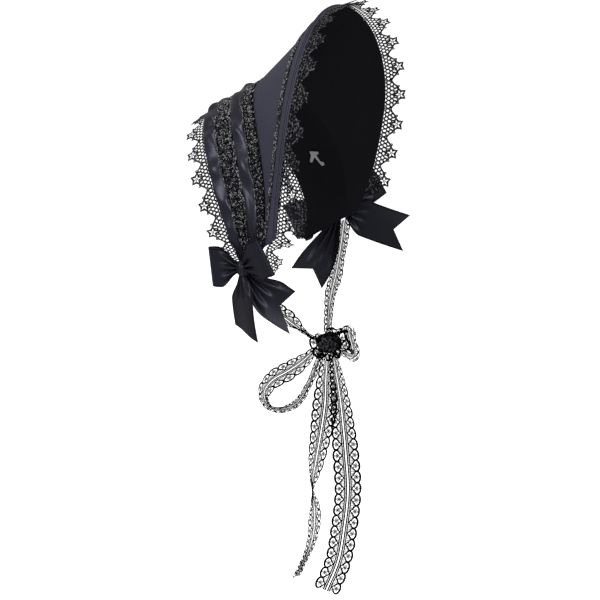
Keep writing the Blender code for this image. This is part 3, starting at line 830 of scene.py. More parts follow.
@dataclass
class BandRepeat:
    """Repeats a flat cell along a band and bends it onto the band's surface."""

    tree_name: str = "repeat_on_band"

    def tree(self) -> bpy.types.NodeTree:
        """Builds the geometry node tree once.

        Returns:
            The tree, with its inputs named.
        """
        found = bpy.data.node_groups.get(self.tree_name)
        if found:
            return found
        tree = bpy.data.node_groups.new(self.tree_name, "GeometryNodeTree")
        sockets = {"Geometry": "NodeSocketGeometry", "Cell": "NodeSocketObject",
                   "Band": "NodeSocketObject", "Count": "NodeSocketInt",
                   "Pitch": "NodeSocketFloat", "Length": "NodeSocketFloat",
                   "Depth": "NodeSocketFloat", "Finish": "NodeSocketMaterial"}
        for label, kind in sockets.items():
            tree.interface.new_socket(label, in_out="INPUT", socket_type=kind)
        tree.interface.new_socket("Geometry", in_out="OUTPUT", socket_type="NodeSocketGeometry")
        given = add_node(tree, "NodeGroupInput").outputs
        cell = add_node(tree, "GeometryNodeObjectInfo", {"Object": given["Cell"]})
        offset = add_node(tree, "ShaderNodeCombineXYZ", {"X": given["Pitch"]})
        line = add_node(tree, "GeometryNodeMeshLine", {
            "Count": given["Count"], "Offset": offset.outputs[0]}, mode="OFFSET")
        copies = add_node(tree, "GeometryNodeInstanceOnPoints", {
            "Points": line.outputs["Mesh"], "Instance": cell.outputs["Geometry"]})
        real = add_node(tree, "GeometryNodeRealizeInstances", {
            "Geometry": copies.outputs["Instances"]})
        place = add_node(tree, "GeometryNodeInputPosition")
        split = add_node(tree, "ShaderNodeSeparateXYZ", {0: place.outputs[0]})
        sample = add_node(tree, "ShaderNodeCombineXYZ", {
            axis: NodeBook.math(tree, "DIVIDE", split.outputs[axis], given[size])
            for axis, size in (("X", "Length"), ("Y", "Depth"))})
        band = add_node(tree, "GeometryNodeObjectInfo", {"Object": given["Band"]})

        def attribute(label: str) -> bpy.types.NodeSocket:
            """Reads one of the band's vector attributes."""
            node = add_node(tree, "GeometryNodeInputNamedAttribute", {"Name": f"band_{label}"},
                            data_type="FLOAT_VECTOR")
            return node.outputs["Attribute"]

        read = {}
        for label in ("place", "out"):
            surface = add_node(tree, "GeometryNodeSampleUVSurface", {
                "Mesh": band.outputs["Geometry"], "Value": attribute(label),
                "UV Map": attribute("share"), "Sample UV": sample.outputs[0]},
                data_type="FLOAT_VECTOR")
            read[label] = surface.outputs["Value"]
        lift = add_node(tree, "ShaderNodeVectorMath", {
            0: read["out"], "Scale": split.outputs["Z"]}, operation="SCALE")
        total = add_node(tree, "ShaderNodeVectorMath", {
            0: read["place"], 1: lift.outputs[0]}, operation="ADD")
        moved = add_node(tree, "GeometryNodeSetPosition", {
            "Geometry": real.outputs["Geometry"], "Position": total.outputs[0]})
        dressed = add_node(tree, "GeometryNodeSetMaterial", {
            "Geometry": moved.outputs["Geometry"], "Material": given["Finish"]})
        add_node(tree, "NodeGroupOutput", {"Geometry": dressed.outputs["Geometry"]})
        return tree

    @staticmethod
    def band(name: str, grid: Array, out: Array, spare: float = 0.0) -> bpy.types.Object:
        """Makes the band that the cells are bent onto.

        Args:
            name: Name of the helper object.
            grid: Points in rows along the band and columns over it, in millimetres.
            out: Direction off the band's surface at each point.
            spare: Share of the band beyond each end that the rows reach.

        Returns:
            A hidden helper object with its places, directions and shares as attributes.
        """
        rows, columns = grid.shape[:2]
        mesh = mesh_from(name, grid.reshape(-1, 3), grid_quads(rows, columns)[1])
        share = np.stack([*np.meshgrid(np.linspace(-spare, 1 + spare, rows),
                                       np.linspace(-spare, 1 + spare, columns), indexing="ij"),
                          np.zeros((rows, columns))], axis=-1)
        for label, values in (("place", grid * MM), ("out", out), ("share", share)):
            layer = mesh.attributes.new(f"band_{label}", "FLOAT_VECTOR", "POINT")
            layer.data.foreach_set("vector", values.reshape(-1).astype(np.float32))
        helper = new_object(name, mesh)
        helper.hide_render = True
        return helper

    def run(self, name: str, cell: LaceCell, grid: Array, out: Array, length: float,
            depth: float, finish: ClothFinish, spare: float = 0.0) -> bpy.types.Object:
        """Repeats a cell along a band and returns the plain mesh that comes out.

        Args:
            name: Name of the finished piece.
            cell: The repeat, from 0 to its pitch along and from 0 to depth over.
            grid: Points of the band.
            out: Directions off the band.
            length: Flat length of the band.
            depth: Flat depth of the band.
            finish: Finish of the threads.
            spare: Share of the band that its rows and columns reach beyond each side.

        Returns:
            The finished piece.
        """
        count = max(1, round(length / cell.pitch))
        pattern = cell.build()
        low, high = (np.array(pattern.bound_box)[[0, 6]] / MM)
        margin = np.array([count * cell.pitch, depth]) * spare
        if np.any(low[:2] < -margin) or np.any(high[:2] > (cell.pitch, depth) + margin):
            raise ValueError(f"{name}: the cell from {low[:2]} to {high[:2]} leaves its band")
        band = self.band(f"{name}_band", grid, out, spare)
        holder = new_object(f"{name}_holder", bpy.data.meshes.new(f"{name}_holder"))
        modifier = holder.modifiers.new("repeat", "NODES")
        modifier.node_group = self.tree()
        values = {"Cell": pattern, "Band": band, "Count": count, "Pitch": cell.pitch * MM,
                  "Length": count * cell.pitch * MM, "Depth": depth * MM,
                  "Finish": finish.build()}
        for item in modifier.node_group.interface.items_tree:
            if item.in_out == "INPUT" and item.name in values:
                modifier[item.identifier] = values[item.name]
        holder.update_tag()
        bpy.context.view_layer.update()
        graph = bpy.context.evaluated_depsgraph_get()
        mesh = bpy.data.meshes.new_from_object(holder.evaluated_get(graph))
        mesh.name = name
        along = np.gradient(grid, axis=0)
        over = np.gradient(grid, axis=1)
        if np.sum(np.cross(along, over) * out) < 0:
            mesh.flip_normals()
        mesh.shade_smooth()
        for helper in (holder, band, pattern):
            bpy.data.objects.remove(helper, do_unlink=True)
        piece = new_object(name, mesh)
        set_finish(piece, finish)
        return piece


@dataclass(frozen=True)
class Panel:
    """One panel of the bonnet: its place, its cloth and the node it stands for."""

    name: str
    node: str
    start: float
    stop: float
    rows: int
    middle: Callable[[Array, Array], Array]
    thickness: float
    finish: ClothFinish
    slot: Slot
    width: float
    length: float
    held: Held
    carrier: str


@dataclass
class Panels:
    """Crown, brim and their linings."""

    form: BonnetForm
    cloth: float = 1.5
    lining: float = 1.0
    crown_lining_top: float = -2.2
    brim_lining_top: float = -2.0
    columns: int = 220
    crown_rows: int = 24
    brim_rows: int = 40
    fold: float = 1.1

    def build(self) -> None:
        """Makes and dresses the four panels."""
        form = self.form
        crown_length = form.seam.half_length * 2
        crown_width = float(np.linalg.norm(form.back.at(0) - form.seam.at(0)))
        brim_width = float(np.linalg.norm(form.front.at(0) - form.seam.at(0)))

        def flat_crown(across: Array, along: Array) -> Array:
            """Height of the crown's middle face."""
            return np.full_like(across, -self.cloth / 2)

        def eased_brim(across: Array, along: Array) -> Array:
            """Height of the brim's middle face, with a slow wave."""
            wave = 0.35 * np.sin(along * 9 + across * 4) * np.sin((across - 1) * math.pi)
            return -self.cloth / 2 + wave

        def smooth_lining(across: Array, along: Array) -> Array:
            """Height of the brim lining's middle face."""
            return np.full_like(across, self.brim_lining_top - self.lining / 2)

        def gathered_lining(across: Array, along: Array) -> Array:
            """Height of the crown lining's middle face, drawn into folds across it.

            Args:
                across: Place across the crown.
                along: Place along it.

            Returns:
                The heights in millimetres.
            """
            folds = (np.sin(along * 61 + 1.3 * np.sin(along * 7))
                     + 0.6 * np.sin(along * 97 + across * 3)) / 1.6
            drawn = 0.45 + 0.55 * np.abs(across - 0.5) * 2
            return self.crown_lining_top - self.lining / 2 - self.fold * (
                0.5 + 0.5 * folds) * drawn

        brim_length = form.front.half_length * 2
        plan = (
            # The crown cloth takes the undercloth, whose extra darkness is painted shade for the
            # lace gaps.
            Panel("crown_cloth", "crown_band", 0.002, 1.0, self.crown_rows, flat_crown,
                  self.cloth, SHADED_UNDERCLOTH, Slot.SATIN, crown_width, crown_length,
                  Held.STRETCHED, "crown_lining"),
            Panel("brim_cover", "brim_panel", 0.999, 1.999, self.brim_rows, eased_brim,
                  self.cloth, BRIM, Slot.BRIM_CLOTH, brim_width, brim_length,
                  Held.STRETCHED, "brim_lining"),
            Panel("brim_underside", "brim_lining", 0.999, 1.998, self.brim_rows, smooth_lining,
                  self.lining, LINING, Slot.LINING, brim_width, brim_length,
                  Held.STRETCHED, "brim_panel"),
            Panel("gathered_lining", "crown_lining", 0.002, 1.0, self.crown_rows * 2,
                  gathered_lining, self.lining, LINING, Slot.LINING, crown_width, crown_length,
                  Held.GATHERED, "crown_band"),
        )
        for panel in plan:
            across, along = np.meshgrid(np.linspace(panel.start, panel.stop, panel.rows),
                                        np.linspace(-1, 1, self.columns), indexing="ij")
            grid = form.lifted(across, along, panel.middle(across, along))
            piece = thick_sheet(panel.name, grid, panel.thickness)
            set_finish(piece, panel.finish)
            fit_piece(piece, panel.node)
            declare_cloth(piece, panel.width, panel.length,
                          grid_area(grid))


@dataclass
class CrownRibbon:
    """A satin ribbon laid round the crown, between two places across it.

    It is puckered by swell millimetres, in waves that slant over its width.
    """

    form: BonnetForm
    name: str
    node: str
    start: float
    stop: float
    swell: float
    waves: float
    slant: float
    seed: int
    base: float = 0.5
    thickness: float = 0.7
    columns: int = 420
    rows: int = 26

    def height(self, share: Array, along: Array) -> Array:
        """Height of the ribbon's middle above the crown.

        Args:
            share: Place over the ribbon, from 0 to 1.
            along: Place along it, from -1 to 1.

        Returns:
            The heights in millimetres.
        """
        random = np.random.default_rng(self.seed)
        phases = random.uniform(0, math.tau, 6)
        drift = 0.8 * np.sin(along * 6.1 + phases[0]) + 0.4 * np.sin(along * 13 + phases[1])
        bend = self.slant * np.sin(math.pi * (share - 0.5)) / 2
        turn = along * math.pi * self.waves + drift + bend
        crest = 0.5 + 0.5 * np.sin(turn)
        second = 0.5 + 0.5 * np.sin(turn * 1.7 + phases[2] - 2.4 * share)
        fine = 0.5 + 0.5 * np.sin(turn * 3.7 + phases[3] + 2.0 * share)
        hump = np.sin(math.pi * np.clip(share, 0, 1)) ** 0.5
        rise = 0.78 * crest + 0.19 * second + 0.03 * fine
        return self.base + self.thickness / 2 + self.swell * rise * (0.2 + 0.8 * hump)

    def build(self) -> None:
        """Makes and dresses the ribbon."""
        share, along = np.meshgrid(np.linspace(0, 1, self.rows),
                                   np.linspace(-1, 1, self.columns), indexing="ij")
        edge = 0.012 * np.sin(along * math.pi * self.waves * 1.3)
        across = self.start + (self.stop - self.start) * share + edge * (share - 0.5)
        grid = self.form.lifted(across, along, self.height(share, along))
        piece = thick_sheet(self.name, grid, self.thickness)
        set_finish(piece, SATIN)
        fit_piece(piece, self.node)
        length = self.form.back.half_length * 2
        declare_cloth(piece, grid_area(grid) / length, length)


@dataclass
class CrownLace:
    """A lace laid flat round the bonnet, between two places across it."""

    form: BonnetForm
    name: str
    node: str
    cell: LaceCell
    depth: float
    place: Callable[[Array], tuple[Array, Array]]
    lift: float = 0.95
    repeats: int = 25
    carrier: str = "crown_cloth"
    spare: float = 0.04
    rows: int = 500
    columns: int = 10

    def build(self) -> None:
        """Makes and dresses the lace."""
        reach = 1 + 2 * self.spare
        along = np.linspace(-reach + self.spare, reach - self.spare, self.rows)
        start, stop = self.place(along)
        share = np.linspace(-self.spare, 1 + self.spare, self.columns)
        across = start[:, None] + (stop - start)[:, None] * share[None, :]
        spread = np.broadcast_to(along[:, None], across.shape)
        grid = self.form.lifted(across, spread, np.full_like(across, self.lift))
        out = self.form.normal(across, spread)
        length = self.repeats * self.cell.pitch
        piece = BandRepeat().run(self.name, self.cell, grid, out, length, self.depth, CORDED,
                                 spare=self.spare)
        fit_piece(piece, self.node)
        declare_cloth(piece, self.depth, length,
                      self.cell.area(self.repeats))


def wide_lace_cell(pitch: float, depth: float) -> LaceCell:
    """Corded lace with a beaded scalloped front edge and a filling of rings and flowers.

    Args:
        pitch: Length of one repeat.
        depth: Depth of the lace.

    Returns:
        The cell.
    """
    cell = LaceCell("wide_lace_cell", pitch, height=1.5)
    random = np.random.default_rng(4)
    half = pitch / 2

    def border(x: float, inset: float) -> tuple[float, float]:
        """A point at a distance in from the scalloped edge."""
        return x, depth - 4.9 - inset + 4.0 * abs(math.sin(math.pi * x / pitch)) ** 0.8

    cell.path([(0, 0.6), (half, 0.6), (pitch, 0.6)], 0.9)
    ticks = np.linspace(0, pitch, 17)
    cell.path([border(x, 0.0) for x in ticks], 0.85)
    cell.path([border(x, 2.6) for x in ticks], 0.8)
    for number in range(14):
        cell.ring(*border(pitch * (number + 0.5) / 14, 1.3), 0.85, 0.75, sides=6)
    flowers = ((half, 9.6, 2.0), (half * 0.32, 5.2, 1.5), (pitch - half * 0.32, 5.2, 1.5))
    for x, y, radius in flowers:
        cell.ring(x, y, radius * 0.6, 0.7, sides=7)
        for turn in range(0, 360, 60):
            angle = math.radians(turn + 30)
            cell.leaf(x + radius * math.cos(angle), y + radius * math.sin(angle), radius * 1.4,
                      radius * 1.1, turn + 30, 0.6)
    for level in range(4):
        for number in range(9):
            x = pitch * (number + (0.25 if level % 2 else 0.75)) / 9 + random.uniform(-0.3, 0.3)
            y = 2.5 + 3.3 * level + random.uniform(-0.4, 0.4)
            clear = min(math.hypot(x - fx, y - fy) - 2.1 * radius for fx, fy, radius in flowers)
            if clear > 0.6 and y < border(x, 4.0)[1] and 1.6 < x < pitch - 1.6:
                cell.ring(x, y, random.uniform(0.95, 1.35), random.uniform(0.55, 0.8), sides=6)
    for side, x in ((1, 0.0), (-1, pitch)):
        for y in (4.4, 8.2, 11.0):
            cell.arc(x, y, 1.3, 1.3, 90, 90 - side * 180, 0.7, steps=5)
    return cell


def leaf_lace_cell(pitch: float, depth: float) -> LaceCell:
    """Narrow corded lace: a heading, small rings and leaves that point off its edge.

    Args:
        pitch: Length of one repeat.
        depth: Depth of the lace.

    Returns:
        The cell.
    """
    cell = LaceCell("leaf_lace_cell", pitch, height=1.5)
    step = pitch / 2
    tall = depth * 0.46
    for number in range(2):
        x = step * (number + 0.5)
        high = depth * (0.4 if number else 0.5)
        cell.path([(x - step / 2, 0.6), (x, 0.8), (x + step / 2, 0.6)], 0.9)
        for side in (-1, 1):
            cell.ring(x + side * step * 0.25, depth * 0.24, 1.2, 0.6, sides=6)
            cell.leaf(x + side * 0.5, high, tall * 0.75, 2.0, 90 - side * 52, 0.6)
        cell.ring(x, depth * 0.42, 1.1, 0.75, sides=6)
        cell.leaf(x, high, tall, 2.4, 90, 0.7)
        if number == 0:
            cell.ring(x + step / 2, depth * 0.52, 1.1, 0.7, sides=6)
    for x in (0.0, pitch):
        cell.path([(x, 0.6), (x, depth * 0.5)], 0.75)
    return cell


def star_lace_cell(pitch: float) -> LaceCell:
    """Corded edging: a close net and a hollow star in each repeat.

    Args:
        pitch: Length of one repeat.

    Returns:
        The cell.
    """
    cell = LaceCell("star_lace_cell", pitch, height=0.8)
    half = pitch / 2
    holes, rows = 7, (2.6, 6.0, 9.3, 12.6)
    star_y, tip, notch = 15.6, 6.1, 3.1

    def top(x: float) -> float:
        """Height of the net, which stops round the star and falls away between two stars."""
        inner = 9.6 if abs(x - half) < 4.6 else 13.2
        return inner - 7.0 * max(0.0, 1 - min(x, pitch - x) / 6.5)

    cell.path([(0, 0.6), (half, 0.6), (pitch, 0.6)], 1.2)
    cell.net(rows, holes, 0.8, 2.05, top)
    cell.path([(0, 0.6), (0, 1.9)], 1.3)
    for number in range(1, holes):
        x = pitch * (number - 0.5) / holes
        cell.path([(x, 0.6), (x, 1.9)], 1.3)
    for side in (-1, 1):
        cell.path([(half + side * 3.2, 9.8), (half + side * 3.5, 12.2),
                   (half + side * 4.6, 14.2)], 1.5)
        cell.path([(half + side * 4.4, 14.2), (half + side * 6.6, 13.9),
                   (half + side * 8.6, 12.2), (half + side * 10.6, 9.9),
                   (half + side * 12.6, 8.2), (half + side * half, 7.2)], 2.0)
        cell.path([(half + side * 6.4, 12.4), (half + side * 6.8, 13.8)], 1.5)
        cell.leaf(half + side * 7.6, 13.2, 2.4, 1.8, 90 - side * 35, 1.2)
    cell.star(half, star_y, tip, notch, 2.9)
    cell.ring(half, star_y, 1.0, 0.9, sides=6)
    for turn in range(0, 360, 72):
        angle = math.radians(turn + 90)
        cell.path([(half + math.cos(angle), star_y + math.sin(angle)),
                   (half + 2.8 * math.cos(angle), star_y + 2.8 * math.sin(angle))], 0.6)
    return cell


def tie_lace_cell(pitch: float, width: float, sides: Sequence[int] = (-1, 1)) -> LaceCell:
    """Lace ribbon with a flower ring in each scallop and an open middle channel.

    Args:
        pitch: Length of one repeat.
        width: Width of the ribbon, or of its half where it has one side only.
        sides: Sides of the middle line that it has.

    Returns:
        The cell.
    """
    cell = LaceCell("tie_lace_cell", pitch, height=0.55)
    half = pitch / 2
    middle = width / 2 if len(sides) == 2 else 0.0
    bars = 8
    for side in sides:
        def at(x: float, distance: float, side: int = side) -> tuple[float, float]:
            """A point at a distance from the middle line."""
            return x, middle + side * distance

        for cord, thick in ((1.3, 1.5), (3.3, 1.3)):
            cell.path([at(0, cord), at(half, cord), at(pitch, cord)], thick)
        for number in range(bars):
            x = pitch * (number + 0.5) / bars
            cell.path([at(x, 1.6), at(x, 3.3)], 0.8)
        waist, outer = 8.6, 12.75
        cell.path([at(half - half * math.cos(math.radians(a)),
                      waist + (outer - waist) * math.sin(math.radians(a)) ** 0.8)
                   for a in range(0, 181, 20)], 2.3)
        cell.path([at(0, waist), at(half * 0.42, waist - 1.9), at(half, 3.9),
                   at(pitch - half * 0.42, waist - 1.9), at(pitch, waist)], 1.8)
        for x in (half * 0.28, pitch - half * 0.28):
            cell.path([at(x, 3.3), at(x, waist - 1.5)], 0.55)
        for x in (half * 0.55, pitch - half * 0.55):
            cell.path([at(x, 3.3), at(x, waist - 2.6)], 0.55)
        cell.path([at(0, 3.3), at(0, waist)], 0.6)
        for start in (4.9, 6.4):
            cell.path([at(0, start), at(half * 0.5, start)], 0.5)
            cell.path([at(pitch - half * 0.5, start), at(pitch, start)], 0.5)
        for turn in range(0, 360, 72):
            angle = math.radians(turn + 90)
            x, y = at(half + 0.5 * math.cos(angle), 8.7 + 0.5 * math.sin(angle))
            cell.leaf(x, y, 2.4, 1.4, side * (turn + 90), 0.85)
    return cell


@dataclass
class StarLace:
    """Star lace on one free edge of the bonnet.

    Past the place named free it turns in by end_turn degrees, lies end_back millimetres in from
    the edge and loses the share end_gather of its depth; bow_back takes it behind the bow.
    """

    form: BonnetForm
    name: str
    node: str
    across: float
    outward: int
    turn: float
    stars: int
    start: float
    stop: float
    end_turn: float = 0.0
    end_back: float = 0.0
    bow_back: float = 0.0
    end_gather: float = 0.0
    carrier: str = "brim_cover"
    free: float = -1.0
    depth: float = 22.4
    ripple: float = 0.8
    spare: float = 0.02
    rows: int = 520
    columns: int = 14

    def build(self) -> None:
        """Makes and dresses the lace."""
        arch = self.form.front if self.across else self.form.back
        length = arch.half_length * (self.stop - self.start)
        pitch = length / self.stars
        beyond = (self.stop - self.start) * self.spare
        along = np.linspace(self.start - beyond, self.stop + beyond, self.rows)
        reach = self.free - self.start
        past = smooth_step((self.free - along) / reach) if reach > 0 else np.zeros_like(along)
        base, edge, away, normal = self.form.edge_frame(
            self.across, self.outward, along, self.turn + self.end_turn * past)
        back = past * self.end_back + np.sin(math.pi * np.sqrt(past)) * self.bow_back
        base = base - edge * back[:, None]
        deep = np.linspace(-self.spare, 1 + self.spare, self.columns) * self.depth
        ripple = (self.ripple * np.sin(along * 23 + 0.7)[:, None]
                  * (deep[None, :] / self.depth) ** 2)
        deep = deep[None, :] * (1 - self.end_gather * past)[:, None]
        grid = (base[:, None, :] + away[:, None, :] * deep[..., None]
                + normal[:, None, :] * ripple[..., None])
        out = np.broadcast_to(normal[:, None, :], grid.shape)
        cell = star_lace_cell(pitch)
        piece = BandRepeat().run(self.name, cell, grid, out, length, self.depth, GUIPURE,
                                 spare=self.spare)
        fit_piece(piece, self.node)
        declare_cloth(piece, self.depth, length,
                      cell.area(self.stars))


@dataclass
class EdgeStrip:
    """Flat stitched strip along the brim's front edge."""

    form: BonnetForm
    width: float = 18
    base: float = 0.5
    thickness: float = 1.0
    columns: int = 300
    rows: int = 9
    stitch_pitch: float = 3.2
    stitch_length: float = 2.8
    stitch_width: float = 0.8
    stitch_depth: float = 1.0
    stitch_lift: float = 0.05
    inset: float = 0.8

    def band(self, distance: Array, along: Array, lift: float) -> Array:
        """Points at distances in from the front edge."""
        across = self.form.from_front(along, distance)
        return self.form.lifted(across, along, np.full_like(across, lift))

    def build(self) -> None:
        """Makes and dresses the strip with its two rows of stitches."""
        distance, along = np.meshgrid(np.linspace(self.width, 0.05, self.rows),
                                      np.linspace(-1, 1, self.columns), indexing="ij")
        grid = self.band(distance, along, self.base + self.thickness / 2)
        strip = thick_sheet("stitched_strip", grid, self.thickness)
        set_finish(strip, BRIM)
        fit_piece(strip, "edge_strip")
        length = self.form.front.half_length * 2
        declare_cloth(strip, self.width, length)
        for label, inward in (("front", self.inset), ("back", self.width - self.inset)):
            self.stitches(f"strip_stitches_{label}", inward, length)

    def stitches(self, name: str, inward: float, length: float) -> None:
        """Makes one row of stitches.

        Args:
            name: Name of the row.
            inward: Distance in from the front edge.
            length: Length of the row.
        """
        cell = LaceCell("stitch_cell", self.stitch_pitch, height=self.stitch_width)
        gap = (self.stitch_pitch - self.stitch_length) / 2
        half = self.stitch_depth / 2
        cell.path([(gap, half), (self.stitch_pitch / 2, half), (self.stitch_pitch - gap, half)],
                  self.stitch_width)
        spread, over = np.meshgrid(np.linspace(-1, 1, 400),
                                   np.linspace(inward + half, inward - half, 4), indexing="ij")
        grid = self.band(over, spread, self.base + self.thickness + self.stitch_lift)
        out = self.form.normal(self.form.from_front(spread, over), spread)
        row = BandRepeat().run(name, cell, grid, out, length, self.stitch_depth, TIE_THREAD)
        fit_piece(row, None)


@dataclass
class Bow:
    """A satin bow on a lower corner: knot, two loops and two tails."""

    form: BonnetForm
    side: str
    sign: int
    across: float
    along: float
    loops: dict[str, dict[str, float]]
    tails: dict[str, dict]
    ribbon: float = 38
    satin: float = 0.8
    knot_half: tuple[float, float, float] = (6.0, 9.0, 8.0)
    knot_lift: float = 10
    root_half: float = 4.5
    root_gap: float = -2.0
    fold: float = 2.0
    folds: float = 3.2
    take_up: float = 0.85
    curl: float = 1.6
    loop_rows: int = 65
    tail_rows: int = 49
    columns: int = 57
    stations: tuple[float, ...] = (0.0, 0.3, 0.65, 0.92, 1.0, 0.92, 0.65, 0.3, 0.0)
    outs: tuple[float, ...] = (2.0, 4.6, 5.0, 3.4, 0.0, -3.4, -5.0, -4.6, -2.0)

    def axes(self) -> tuple[Array, Array]:
        """Places the bow on its corner.

        Returns:
            The knot's middle, and the forward, up and out directions.
        """
        along = self.sign * self.along
        centre = self.form.lifted(self.across, along, self.knot_lift)
        out = unit(self.form.normal(self.across, along) * np.array([1, 1, 0]))
        up = np.array([0.0, 0.0, 1.0])
        return centre, np.stack([np.cross(out, up) * self.sign, up, out])

    def root(self, direction: Array, edge: Array, crests: Sequence[Array]) -> float:
        """Distance from the knot's middle at which a ribbon's first row starts.

        Args:
            direction: Direction in which the ribbon leaves the knot.
            edge: Direction over the ribbon.
            crests: Places of its highest folds.

        Returns:
            The distance at which the row is just clear of the knot's form, taken root_gap
            larger all round, or smaller where root_gap is negative.
        """
        reach = np.array(self.knot_half) + self.root_gap
        corners = [-edge * self.root_half, edge * self.root_half, *crests]
        distance = 0.0
        while min(np.linalg.norm((direction * distance + corner) / reach)
                  for corner in corners) < 1:
            distance += 0.1
        return distance

    def pleats(self, over: Array, half: float, seed: int) -> Array:
        """Height of the folds that take up the ribbon's width where it is drawn together.

        Args:
            over: Place over the ribbon, from -1 to 1.
            half: Half the width that the ribbon has left.
            seed: Number that sets the folds' places.

        Returns:
            The heights in millimetres.
        """
        phase = np.random.default_rng(seed).uniform(-0.6, 0.6, 2)
        spare = math.sqrt(max(0.0, (self.ribbon / 2) ** 2 - half ** 2)) * 2
        depth = self.take_up * spare / (4 * self.folds)
        turn = over * math.pi * self.folds + phase[0] + 0.5 * np.sin(over * 2.3 + phase[1])
        return depth * np.cos(turn)

    def loop(self, place: str, loop: dict[str, float], centre: Array, axes: Array, seed: int
             ) -> None:
        """Makes a ribbon that runs out, turns back on itself and returns to the knot.

        Args:
            place: The loop's place in the bow.
            loop: Its reach, rise, swing, lean and tilt.
            centre: The knot's middle.
            axes: The forward, up and out directions.
            seed: Number that sets the folds' places.
        """
        line = np.array([loop["reach"], loop["rise"], loop["swing"]], dtype=float)
        length = float(np.linalg.norm(line))
        line = line / length
        width = unit(np.array([-line[1], line[0], 0.0])) * np.sign(loop["reach"])
        lean = math.radians(loop["lean"])
        end_width = width * math.cos(lean) - line * math.sin(lean)
        off = unit(np.cross(line, width)) * np.sign(loop["reach"])
        crests = [off * (out + self.fold * np.sign(out)) for out in (self.outs[0], self.outs[-1])]
        root = self.root(line, width, crests)
        ticks = np.linspace(0, len(self.stations) - 1, self.loop_rows)
        table = np.column_stack([np.array(self.stations) * (length - root), self.outs,
                                 np.zeros(len(self.stations))])
        steps = np.linalg.norm(np.diff(table, axis=0), axis=1)
        knots = np.concatenate([[0], np.cumsum(steps)]) / steps.sum()
        read = smooth_rows(table, np.interp(ticks, np.arange(len(knots)), knots))
        over = np.linspace(-1, 1, self.columns)
        rows = []
        for travel, out, _ in read:
            station = min(1.0, max(0.0, travel / (length - root)))
            spread = float(smooth_step(np.array(station / 0.7)))
            half = self.root_half + (self.ribbon / 2 - self.root_half) * spread
            edge = unit(width * (1 - spread) + end_width * spread)
            tilt = math.radians(loop["tilt"]) * spread
            edge = edge * math.cos(tilt) + np.array([0, 0, math.sin(tilt)])
            height = self.pleats(over, half, seed)
            layer = out + height * np.sign(out if abs(out) > 0.5 else 1) * min(1, abs(out) / 2)
            rows.append(line * (root + travel) + edge * (half * over)[:, None]
                        + off * layer[:, None])
        grid = centre + np.array(rows) @ axes
        self.dress(f"{self.side}_{place}_loop", f"{self.side}_bow_{place}_loop", grid)

    def tail(self, place: str, tail: dict, centre: Array, axes: Array, seed: int) -> None:
        """Makes a ribbon's free end, which widens from the knot to its cut.

        Args:
            place: The tail's place in the bow.
            tail: Its bend, end, fan, turn, notch, slant and crease.
            centre: The knot's middle.
            axes: The forward, up and out directions.
            seed: Number that sets the folds' places.
        """
        end = np.array(tail["end"], dtype=float)
        bend = np.array(tail["bend"], dtype=float)
        start = unit(bend)
        sideways = unit(np.cross([0, 0, 1.0], start))
        root = start * self.root(start, sideways, [np.cross(start, sideways) * self.fold])
        over = np.linspace(-1, 1, self.columns)
        turn = math.radians(tail["turn"])
        rows = []
        for share in np.linspace(0, 1, self.tail_rows):
            middle = root * (1 - share) ** 2 + 2 * bend * share * (1 - share) + end * share ** 2
            run = unit(2 * (bend - root) * (1 - share) + 2 * (end - bend) * share)
            flat = unit(np.cross([0, 0, 1.0], run))
            edge = flat * math.cos(turn) + np.cross(run, flat) * math.sin(turn)
            off = np.cross(run, edge)
            spread = float(smooth_step(np.array(share / (tail["fan"] * 1.15))))
            half = self.root_half + (self.ribbon / 2 - self.root_half) * spread
            height = self.pleats(over, half, seed) + tail.get("crease", 0.0) * np.exp(
                -((over - 0.25 - 0.5 * share) / 0.16) ** 2) * (1 - share) * min(1, share * 5)
            curl = self.curl * share * np.sin(over * 2.2 + seed)
            pull = share ** 5 * (tail["notch"] * (1 - np.abs(over)) + tail["slant"] * over)
            rows.append(middle + edge * (half * over)[:, None] + off * (height + curl)[:, None]
                        - run * pull[:, None])
        grid = centre + np.array(rows) @ axes
        self.dress(f"{self.side}_{place}_tail", f"{self.side}_bow_{place}_tail", grid)

    def dress(self, name: str, node: str, grid: Array) -> None:
        """Makes one ribbon of the bow from its grid.

        Args:
            name: Name of the ribbon.
            node: Node that it stands for.
            grid: Its points in rows and columns.
        """
        piece = thick_sheet(f"bow_{name}", grid, self.satin, self.ribbon)
        # The bow's ribbons take the bow satin, whose lower gloss is painted shade.
        set_finish(piece, SHADED_BOW_SATIN)
        fit_piece(piece, node)
        length = float(np.linalg.norm(np.diff(grid, axis=0), axis=-1).sum(axis=0).mean())
        declare_cloth(piece, self.ribbon, length)

    def knot(self, centre: Array, axes: Array) -> None:
        """Makes the knot, a short band with folds that runs over the loops' roots.

        Args:
            centre: The knot's middle.
            axes: The forward, up and out directions.
        """
        rows, columns = 40, 48
        bluntness, groove_depth, grooves = 0.55, 0.055, 9.0
        polar = np.linspace(0.02, math.pi - 0.02, rows)[:, None]
        angle = np.linspace(0, math.tau, columns, endpoint=False)[None, :]
        ring = np.sin(polar) ** bluntness
        groove = 1 - groove_depth * (
            0.5 + 0.5 * np.cos(polar * grooves + 0.8 * np.sin(angle)))
        shape = np.stack([np.cos(polar) * 0.97 * np.ones_like(angle),
                          ring * np.sin(angle) * groove, ring * np.cos(angle) * groove], axis=-1)
        grid = centre + (shape * np.array(self.knot_half)) @ axes
        mesh = lump_mesh(f"bow_{self.side}_knot", grid, turned=bool(np.linalg.det(axes) > 0))
        piece = new_object(f"bow_{self.side}_knot", mesh)
        set_finish(piece, SATIN)
        fit_piece(piece, f"{self.side}_bow_knot")

    def build(self) -> None:
        """Makes the whole bow."""
        centre, axes = self.axes()
        self.knot(centre, axes)
        seed = 11 if self.sign < 0 else 29
        for number, (place, loop) in enumerate(self.loops.items()):
            self.loop(place, loop, centre, axes, seed + number)
        for number, (place, tail) in enumerate(self.tails.items()):
            self.tail(place, tail, centre, axes, seed + 7 + number)


